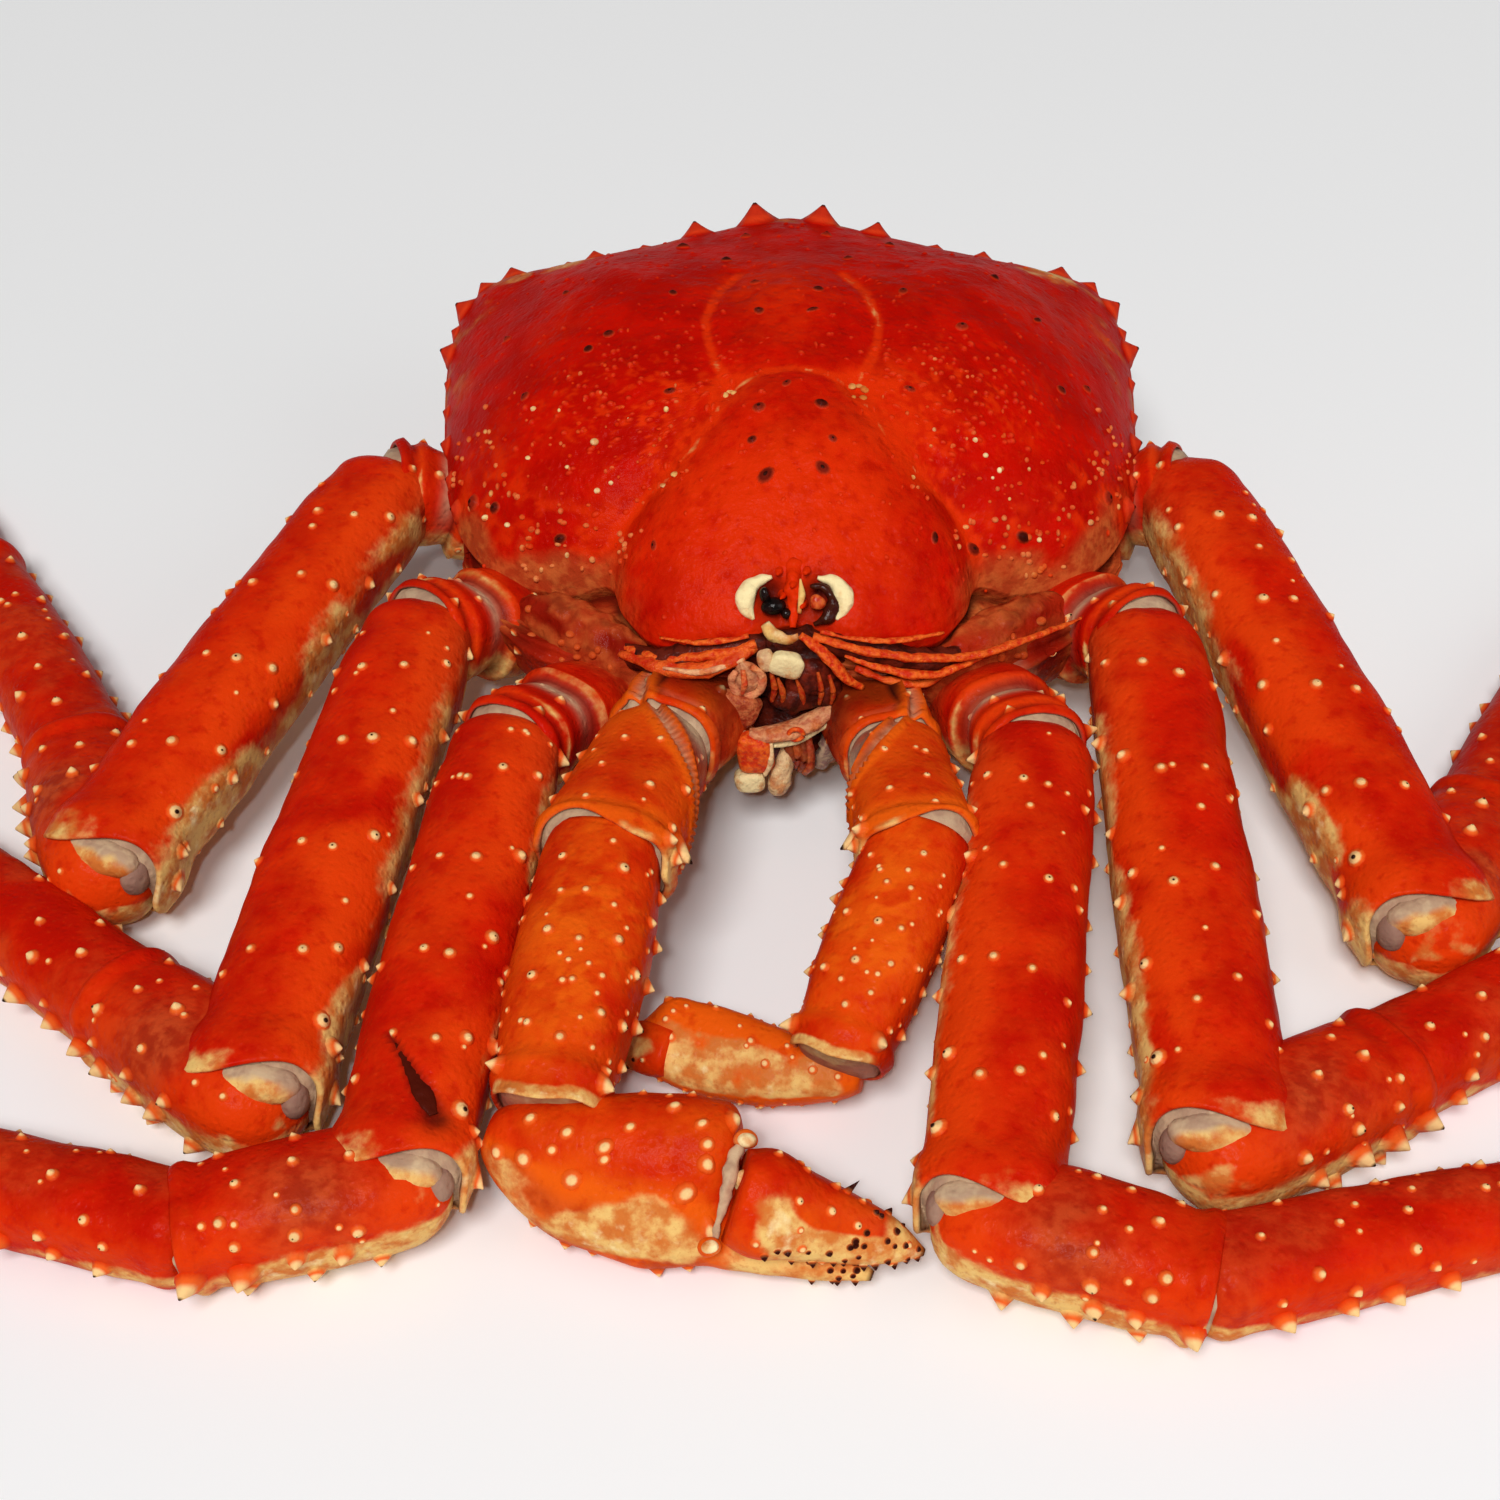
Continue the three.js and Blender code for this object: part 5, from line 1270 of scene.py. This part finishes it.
class Body:
    """The body under the shell over u, the share of the way round, and v, from its top to its underside."""

    def point(self, u, v):
        m, c = on_closed(MARGIN_LINE, u), on_closed(CHEEK_LINE, u)
        middle = vec((0, SHELL_CENTRE_Y, 0))

        def drawn(ring, share, z):
            """The ring drawn in to a share of its size, at height z."""
            out = middle + (ring - middle) * np.asarray(share)[..., None]
            return np.concatenate([out[..., :2], np.broadcast_to(z, out.shape[:-1])[..., None]], -1)

        front = rise(0, -30, m[..., 1])
        roof = drawn(m, 0.9 + 0.095 * front, m[..., 2] - RIM_DEPTH - 3 + 5 * front)
        rings = [roof, drawn(c, 1.0, c[..., 2])] + [drawn(c, share, z) for share, z in BELLY]
        run = np.interp(v, (0, 1, 1.8, 2.6, 3), range(len(rings)))  # which ring, and how far on to the next
        p = sum(ring * np.maximum(0, 1 - np.abs(run - n))[..., None] for n, ring in enumerate(rings))
        swell = 2 * np.sin(run % 1 * math.pi) * (v < 2.6)
        lifted = 0.9 * rise(0, -30, c[..., 1]) * (v < 1)
        outward = unit((c - middle) * [1, 1, 0]) + UP * lifted[..., None]
        folds = 0.9 * np.sin(v * 26 + 2.0 * noise(p, 18, 21)) * rise(0.1, 0.3, v) * rise(1.2, 0.9, v)
        bumps = 0.8 * noise(p, 9, 22) + 0.3 * noise(p, 4, 23) + folds
        return p + outward * (swell + bumps * (v < 2.8))[..., None]

    def inside(self, u, v):
        return np.broadcast_to(vec((0, SHELL_CENTRE_Y, 30)), (*np.shape(u), 3))

    def tones(self, u, v):
        p = self.point(u, v)
        blotch = rough(p, 15, 31)
        near = np.min([np.linalg.norm(p - vec(hip) * [1.12, 1.12, 1], axis=-1) for hip in HIPS], axis=0)
        skin = 0.85 * rise(21, 14, near) * rise(-0.3, 0.4, rough(p, 8, 33))
        fold = rise(0.2, 0.8, noise(p * [1, 1, 3], 7, 34))
        pale = 0.35 * rise(0.2, 0.8, blotch) + 0.7 * rise(1.4, 2.2, v)
        # the top ring, tucked under the shell's rim, is darkened: painted shade under the rim
        return {"warm": 0.25 + 0.4 * blotch, "pale": np.clip(pale, 0, 1), "skin": skin,
                "dull": 0.7 * rise(-0.6, 0.4, blotch) * rise(1.8, 1.2, v),
                "dark": 0.6 * rise(0.1, 0.0, v) + 0.45 * fold * rise(1.4, 1, v)}


def dress_body():
    body, pot = Body(), Pot()
    v, u = np.meshgrid(np.linspace(0, 3, BODY_ROWS), np.arange(BODY_COLS) / BODY_COLS, indexing="ij")
    pot.sleeves(body.point(u, v), body.tones(u, v), start=True, end=True)
    draw = np.random.default_rng(8)
    u, v = draw.uniform(0, 1, BODY_KNOBS), draw.uniform(0.2, 1.2, BODY_KNOBS)
    tall = draw.uniform(0.6, 1.6, BODY_KNOBS)
    thorns(pot, body, u, v, tall, 0.8 * tall + 1, 0, 0.5, draw.uniform(-0.4, 1.2, BODY_KNOBS))
    # the plump fold of the cheek between the shell and the roots of the limbs
    for side in (-1, 1):
        axes = np.stack([vec((-0.8 * side, -0.6, 0)), vec((0.6 * side, -0.8, 0)), UP])
        middle = vec((60 * side, -64, 42))

        def cheek(p):
            streak = rough(p @ axes.T * [0.4, 1, 1.4], 6, 35)
            return {"warm": 0.3 + 0.4 * streak, "dull": 0.5 * rise(-0.7, 0.5, streak),
                    "dark": 0.4 * rise(0.3, 0.8, streak)}

        blob(pot, middle, CHEEK_RADII, cheek, 36, 1.3, axes, 44, 80)
        for _ in range(16):
            a, b = draw.uniform(-0.7, 0.7), draw.uniform(-0.2, 0.7)
            spot = vec((29 * a, 9.4 * math.sqrt(1 - min(0.98, a * a + b * b)), 15 * b)) @ axes
            blob(pot, middle + spot, draw.uniform(0.8, 1.6, 3), {"warm": 1.3, "pale": 0.3}, rings=8, sides=12)
        blob(pot, middle + vec((-2, 9.2, 1)) @ axes, (2.0, 1.2, 1.0), {"dark": 1.0}, rings=8, sides=12)
    pot.piece("thorax_shell", BODY_PAINT, "body", "thorax")


def dress_abdomen():
    """Broad plates that step over each other down the back, under the body and forward to the tip."""
    rows = [(i / (len(ABDOMEN_RUN) - 1), 0, y, z, half) for i, (y, z, half) in enumerate(ABDOMEN_RUN)]
    t = np.linspace(0, 1, ABDOMEN_ROWS)
    found = along_rows(rows, t)
    middle, half = found[:, :3], found[:, 3] * (1 - 0.3 * rise(0.14, 0.0, t))
    ahead = unit(np.gradient(middle, axis=0))
    across = vec((1, 0, 0))
    out = np.cross(across, ahead)
    turn = turns(ABDOMEN_SIDES)
    c, s = np.cos(turn), np.sin(turn)
    step = (t * PLATES) % 1
    overlap = 0.8 * rise(0.0, 0.9, step) - 0.8 * rise(0.93, 1.0, step)
    flat = np.sign(s) * np.abs(s) ** 0.7
    thick = (ABDOMEN_HALF_THICKNESS - 0.9 + overlap)[:, None] * (1 + 0.16 * np.abs(flat))
    step_in = 1 - 0.05 * rise(0.8, 1.0, step)[:, None] * (c**2)[None]
    sides = -5.0 * (c**4)[None]
    points = middle[:, None] + across * (c[None] * half[:, None] * step_in)[..., None]
    points = points + out[:, None] * (flat[None] * thick + sides)[..., None]
    points = points + out[:, None] * (0.3 * noise(points, 8, 41) + 0.15 * noise(points, 3.4, 42))[..., None]
    # a dark line where each plate steps over the next: painted shade in that crease
    crease = rise(0.9, 0.97, step) * rise(1.0, 0.985, step)
    blotch = rough(points, 14, 43)
    pale = 0.1 + 0.75 * rise(0.2, 0.6, t)[:, None] + 0.3 * blotch
    layers = {"pale": np.clip(pale, 0, 1), "warm": 0.5 + 0.4 * blotch,
              "dull": np.clip(0.5 - 0.4 * blotch, 0, 1), "dark": 0.6 * crease[:, None]}
    pot = Pot()
    pot.sleeves(points, layers, start=True, end=True)
    draw = np.random.default_rng(9)
    for _ in range(ABDOMEN_GRAINS):
        place = points[draw.integers(4, 90), draw.integers(5, 28)]
        radii = draw.uniform(0.7, 1.7, 3)
        blob(pot, place, radii, {"warm": 1.3, "pale": draw.uniform(0.2, 0.7)}, rings=6, sides=9)
    pot.piece("abdomen_plates", BODY_PAINT, "body", "abdomen")


# ---------------------------------------------------------------- face

FEELER_GIRTH = 0.85
# The feelers and the flat scales at their roots: radii along each, how orange it is, and its middle line.
FEELERS = {
    "left": [
        ((1.6, 1.8, 1.8, 1.7, 1.7, 1.4, 0.7), 0.8,
         [(5, -85.6, 64), (12, -86.4, 61.8), (24, -86.6, 58.6), (38, -85.4, 56), (52, -81, 54), (70, -72, 54),
          (84, -61, 52)]),
        ((1.4, 2.2, 2.3, 1.2), 1.0, [(1.4, -86, 64.7), (8.4, -89, 60), (14, -90, 53), (19, -89, 48.6)]),
        ((0.7, 1.0, 1.0, 0.5), 1.0, [(7, -86, 66), (16, -87, 64.4), (28, -86, 62.8), (42, -80, 61)]),
        ((1.0, 1.7, 1.7, 1.3, 0.6), 1.0,
         [(14, -86.6, 58), (26, -88, 54), (38, -87.4, 51.6), (48, -82.6, 51.4), (58, -74, 50)]),
        ((1.0, 1.6, 1.5, 0.6), 0.2, [(17, -87, 54), (27, -88, 50), (36, -86.8, 48), (44, -81, 47)]),
    ],
    "right": [
        ((1.6, 1.8, 1.8, 1.7, 1.6, 1.3, 0.7), 0.8,
         [(-11, -85.6, 61.5), (-17, -87, 60), (-26, -87, 58), (-37, -84, 55), (-46, -78, 53), (-55, -68, 51),
          (-66, -61, 50)]),
        ((0.7, 1.0, 1.0, 0.5), 1.0,
         [(-13, -86, 64.4), (-20, -86.4, 63), (-28, -85, 61.4), (-38, -80.6, 59.6)]),
        ((0.9, 1.4, 1.3, 0.6), 0.2, [(-36, -83.6, 50.6), (-45, -78.6, 49), (-54, -70, 47.4), (-62, -62, 47)]),
    ],
}


def dress_eyes():
    for side, name in ((1, "left"), (-1, "right")):
        pot = Pot()
        if side < 0:
            blob(pot, (-6.0, -77.4, 68.2), (3.6, 2.6, 2.5), seed=49, lumps=0.5)
            blob(pot, (-8.4, -76.4, 71.4), (1.7, 2.0, 2.6), seed=50, lumps=0.4)
            blob(pot, (-2.4, -79.4, 67.2), (1.5, 1.6, 1.5), seed=48)
        else:
            blob(pot, (6.2, -77.2, 69.4), (2.9, 2.2, 2.4), {"warm": 0.9, "dull": 0.3}, 51, 1.2)
            lid = [(4.2, -74.4, 73.2), (8, -74.6, 72.8), (10.6, -76.6, 69.8), (9.4, -79.2, 66),
                   (5.2, -80.4, 64.4)]
            rod(pot, lid, [0.5, 0.8, 1.3, 2, 0.7], {"warm": 0.05}, seed=52, lumps=1)
        pot.piece(f"eye_{name}_ball", EYE_PAINT, "eye", f"eye_{name}")


def dress_mouth():
    """Dark masses with lobes that fill the hollows of the mouth, their darkness painted shade, two pale
    plates and a fringe before them, and soft folds at both sides.
    """
    pot = Pot()
    # the two big dark blobs stand for the shaded hollows: painted shade
    blob(pot, (0, -81, 50), (16, 6, 13), {"dark": 0.7}, 53, 1.8)
    blob(pot, (-2, -82, 27), (15, 6, 14), {"dark": 0.5}, 58, 2.2)
    lobes = ((4.2, -87.6, 50, 7.4, 7.6, 0.25), (0.5, -89, 44, 8, 4, 0.55), (9, -87.6, 45, 5, 6, 0.45))
    for x, y, z, rx, rz, tone in lobes:
        blob(pot, (x, y, z), (rx, 3.6, rz), {"dark": tone}, 54, 1.1)
    block(pot, (-2.4, -90.4, 57.8), (4.9, 2.6, 4.0), {"pale": 1.0}, -0.3, 51)
    block(pot, (-8.0, -90.0, 58.8), (2.5, 2.2, 3.3), {"pale": 0.6, "warm": 0.6}, 0.3, 52)
    fringe = ((-6.6, 55, -6.4, 45), (-4.8, 53, -3.6, 44), (0.2, 53, 2.4, 43), (6.4, 55, 7, 44),
              (9.6, 54, 10.4, 44))
    for x0, z0, x1, z1 in fringe:
        path = [(x0, -90.4, z0), (0.5 * (x0 + x1) + 0.8, -91.6, 0.5 * (z0 + z1)), (x1, -91, z1)]
        rod(pot, path, [0.5, 0.9, 0.5], {"warm": 0.7, "dark": 0.2}, seed=56)
    for side, x, y, z in ((-1, -18, -86, 44), (1, 14, -87, 41)):
        for fold in range(3):
            out, back = side * (1.5 + 3.2 * fold), 1.6 * fold
            path = [(x + out, y + back, z), (x + 0.6 * out - side * 4, y + back - 2, z - 11),
                    (x + 0.4 * out - side * 7, y + back, z - 23)]
            layers = {"skin": 1 - 0.25 * fold, "dull": 0.5, "warm": 0.6 * (fold == 2)}
            rod(pot, path, [2.6, 3.4, 2], layers, 0.8, 1.3, 57 + fold)
    for side in (-1, 1):  # a dark rod behind the feelers: painted shade in the crevice there
        path = [(8 * side, -83.6, 60), (24 * side, -83.4, 56.4), (40 * side, -81.4, 52), (54 * side, -70, 49)]
        rod(pot, path, [3, 4, 3.6, 2], {"dark": 0.55}, 1, 0.9, 79)
    pot.piece("mouth_parts", MOUTH_PAINT, "mouth", "mouth")


def dress_left_maxilliped():
    """A folded limb that reaches across the mouth, with a ringed joint and blunt pale plates below it."""
    pot = Pot()
    rod(pot, [(16, -88, 44), (9, -91, 40.8), (1, -94.4, 38), (-7, -96.4, 37.2), (-12.6, -96, 36.6)],
        [2.2, 3.3, 3.5, 3.2, 2.2], {"pale": 0.4, "warm": 0.3, "dull": 0.5}, 0.6, 0.6, 61)
    rod(pot, [(15, -89.6, 41), (8, -92.8, 37.2), (0, -96, 34.4), (-6, -97.6, 34.2)], [0.7, 1, 1, 0.6],
        {"pale": 0.9}, seed=62)
    ring = [(0.4 + 2.1 * math.cos(k), -97.8, 38.4 + 1.9 * math.sin(k)) for k in np.linspace(0, 6.0, 9)]
    rod(pot, ring, [0.7] * 9, {"warm": 1.0}, lumps=0.1, seed=59)
    block(pot, (-11.2, -96.8, 31.0), (4.8, 3.6, 6.6), {"warm": 0.9}, 0.12, 63)
    rod(pot, [(-6.6, -98.4, 36), (-6.8, -99.8, 30), (-8.4, -99.6, 25)], [0.5, 0.9, 0.7],
        {"pale": 0.7, "warm": 1}, seed=60)
    block(pot, (-12.6, -97.6, 21.6), (4.0, 3.2, 3.3), {"pale": 0.95}, 0.1, 64)
    rod(pot, [(-1.4, -94, 31), (-3, -96, 25.6), (-4.4, -97.2, 20.4), (-4.6, -97, 17.2)],
        [1.8, 3, 3.4, 2.4], {"pale": 0.62, "dull": 0.7}, seed=65, lumps=0.6)
    for i in range(4):
        path = [(-2.4 + 2.2 * i, -93.4, 35 - 0.4 * i), (-0.8 + 1.8 * i, -95.2, 29 - 0.8 * i),
                (-0.6 + 1.2 * i, -94, 24 - i)]
        rod(pot, path, [0.9, 1.6, 0.9], {"dull": 0.5, "dark": 0.55 - 0.3 * (i % 2)}, 1, 0.5, 90 + i)
    pot.piece("maxilliped_left_limb", FEELER_PAINT, "feeler", "maxilliped_left")


def dress_right_maxilliped():
    """An ear-shaped plate, a broad dull one below it, and the pale-edged bands that run from both, with a
    dark band of painted shade beneath one of them.
    """
    pot = Pot()
    blob(pot, (-13.2, -90.6, 53), (4.4, 2.0, 5.8), {"dull": 0.7, "pale": 0.4}, 66, 0.7)
    ear = [(-13.4 + 4.3 * math.sin(k), -91.8 - 0.6 * math.cos(k), 53 + 5.6 * math.cos(k))
           for k in np.linspace(0.3, 5.4, 10)]
    rod(pot, ear, [0.8, 1.1, 1.2, 1.2, 1.3, 1.3, 1.2, 1.2, 1.1, 0.8], {"pale": 0.45, "warm": 0.7},
        lumps=0.5, seed=67)
    rod(pot, [(-14.6, -92.2, 57), (-14.2, -93.2, 53), (-14.8, -92.8, 49)], [0.6, 1, 0.6],
        {"warm": 0.8, "pale": 0.3}, seed=67)
    block(pot, (-17.2, -91.8, 43), (7.4, 2.8, 5.6), {"dull": 0.9, "warm": 0.35}, -0.3, 68)
    blob(pot, (-21.4, -93.6, 45), (2.2, 1.6, 2.0), {"warm": 0.9}, 69, 0.5)
    rod(pot, [(-24.6, -92.4, 46.4), (-24.2, -94, 40.8), (-18.6, -95, 37), (-11, -94.6, 36)],
        [0.7, 1, 1, 0.7], {"pale": 0.62, "warm": 0.6}, lumps=0.3, seed=69)
    # a dark band just behind and below the pale one: painted shade under it
    rod(pot, [(-25.8, -91.4, 46), (-25.6, -93, 39.4), (-19, -94.2, 35), (-10.6, -94, 34.4)],
        [1, 1.4, 1.4, 1], {"dark": 0.7}, lumps=0.3, seed=69)
    rod(pot, [(-11, -84, 60), (-16, -87.4, 58.6), (-26, -88.6, 54.4), (-38, -86, 53.6), (-49, -78, 52)],
        [2.2, 3.0, 3.1, 2.6, 1.6], {"warm": 0.3}, 0.7, 0.7, seed=70)
    rod(pot, [(-14, -89.6, 59), (-26, -91.2, 55.6), (-37, -88.6, 55)], [0.6, 0.9, 0.5],
        {"pale": 0.55, "warm": 1}, seed=78)
    pot.piece("maxilliped_right_limb", FEELER_PAINT, "feeler", "maxilliped_right")


def dress_feelers():
    for name, strips in FEELERS.items():
        pot = Pot()
        for number, (radii, warm, run) in enumerate(strips):
            layers = {"warm": warm, "pale": 0.12}
            rod(pot, run, FEELER_GIRTH * vec(radii), layers, 0.75, 0.5, 71 + number)
        pot.piece(f"antenna_{name}_rod", FEELER_PAINT, "feeler", f"antenna_{name}")


# ---------------------------------------------------------------- the whole crab

dress_carapace()
dress_body()
dress_abdomen()
dress_eyes()
dress_mouth()
dress_left_maxilliped()
dress_right_maxilliped()
dress_feelers()
for index, name in enumerate(LEGS):
    dress_leg(name, index)
for index, side in enumerate(CLAWS):
    dress_claw(side, index)

# ---------------------------------------------------------------- floor, light and camera

FLOOR_REACH = 6  # metres


def make_floor():
    mesh = bpy.data.meshes.new("floor")
    corners = [(x * FLOOR_REACH, y * FLOOR_REACH, 0) for x, y in ((-1, -1), (1, -1), (1, 1), (-1, 1))]
    mesh.from_pydata(corners, [], [(0, 1, 2, 3)])
    floor = bpy.data.objects.new("floor", mesh)
    bpy.context.scene.collection.objects.link(floor)
    paint = Paint("floor_white")
    mesh.materials.append(paint.finish(srgb(250, 250, 250), 0.6))


def make_light(name, kind, place, target, power, size):
    """An area lamp of power in watts and size in metres, or a sun of power in W/m2 and size in radians."""
    data = bpy.data.lights.new(name, kind)
    data.energy = power
    setattr(data, "angle" if kind == "SUN" else "size", size)
    lamp = bpy.data.objects.new(name, data)
    bpy.context.scene.collection.objects.link(lamp)
    lamp.location = place
    lamp.rotation_euler = (Vector(target) - Vector(place)).to_track_quat("-Z", "Y").to_euler()


CAMERA_PLACE = (-12.6, -676.5, 518.3)
CAMERA_PITCH = 40  # degrees below the horizon
FOCAL_PIXELS, FRAME_PIXELS = 2664, 1500


def make_camera():
    data = bpy.data.cameras.new("camera")
    data.sensor_width = 36
    data.lens = data.sensor_width * FOCAL_PIXELS / FRAME_PIXELS
    data.clip_start, data.clip_end = 0.01, 50
    camera = bpy.data.objects.new("camera", data)
    bpy.context.scene.collection.objects.link(camera)
    camera.location = (vec(CAMERA_PLACE) + SHIFT) * MM
    camera.rotation_euler = (math.radians(90 - CAMERA_PITCH), 0, 0)
    bpy.context.scene.camera = camera


make_floor()
make_light("key", "SUN", (-0.25, -0.95, 1.4), (0, 0, 0.03), 2.1, math.radians(22))
make_light("fill", "AREA", (1.2, -0.7, 0.9), (0, 0, 0), 4, 1.0)
make_light("glint", "AREA", (-0.05, -0.85, 0.8), (0, 0, 0.05), 2.2, 0.05)
make_camera()

world = bpy.context.scene.world or bpy.data.worlds.new("world")
bpy.context.scene.world = world
world.use_nodes = True
world.node_tree.nodes["Background"].inputs["Color"].default_value = srgb(255, 255, 255)
world.node_tree.nodes["Background"].inputs["Strength"].default_value = 0.16
bpy.context.scene.view_settings.view_transform = "Standard"
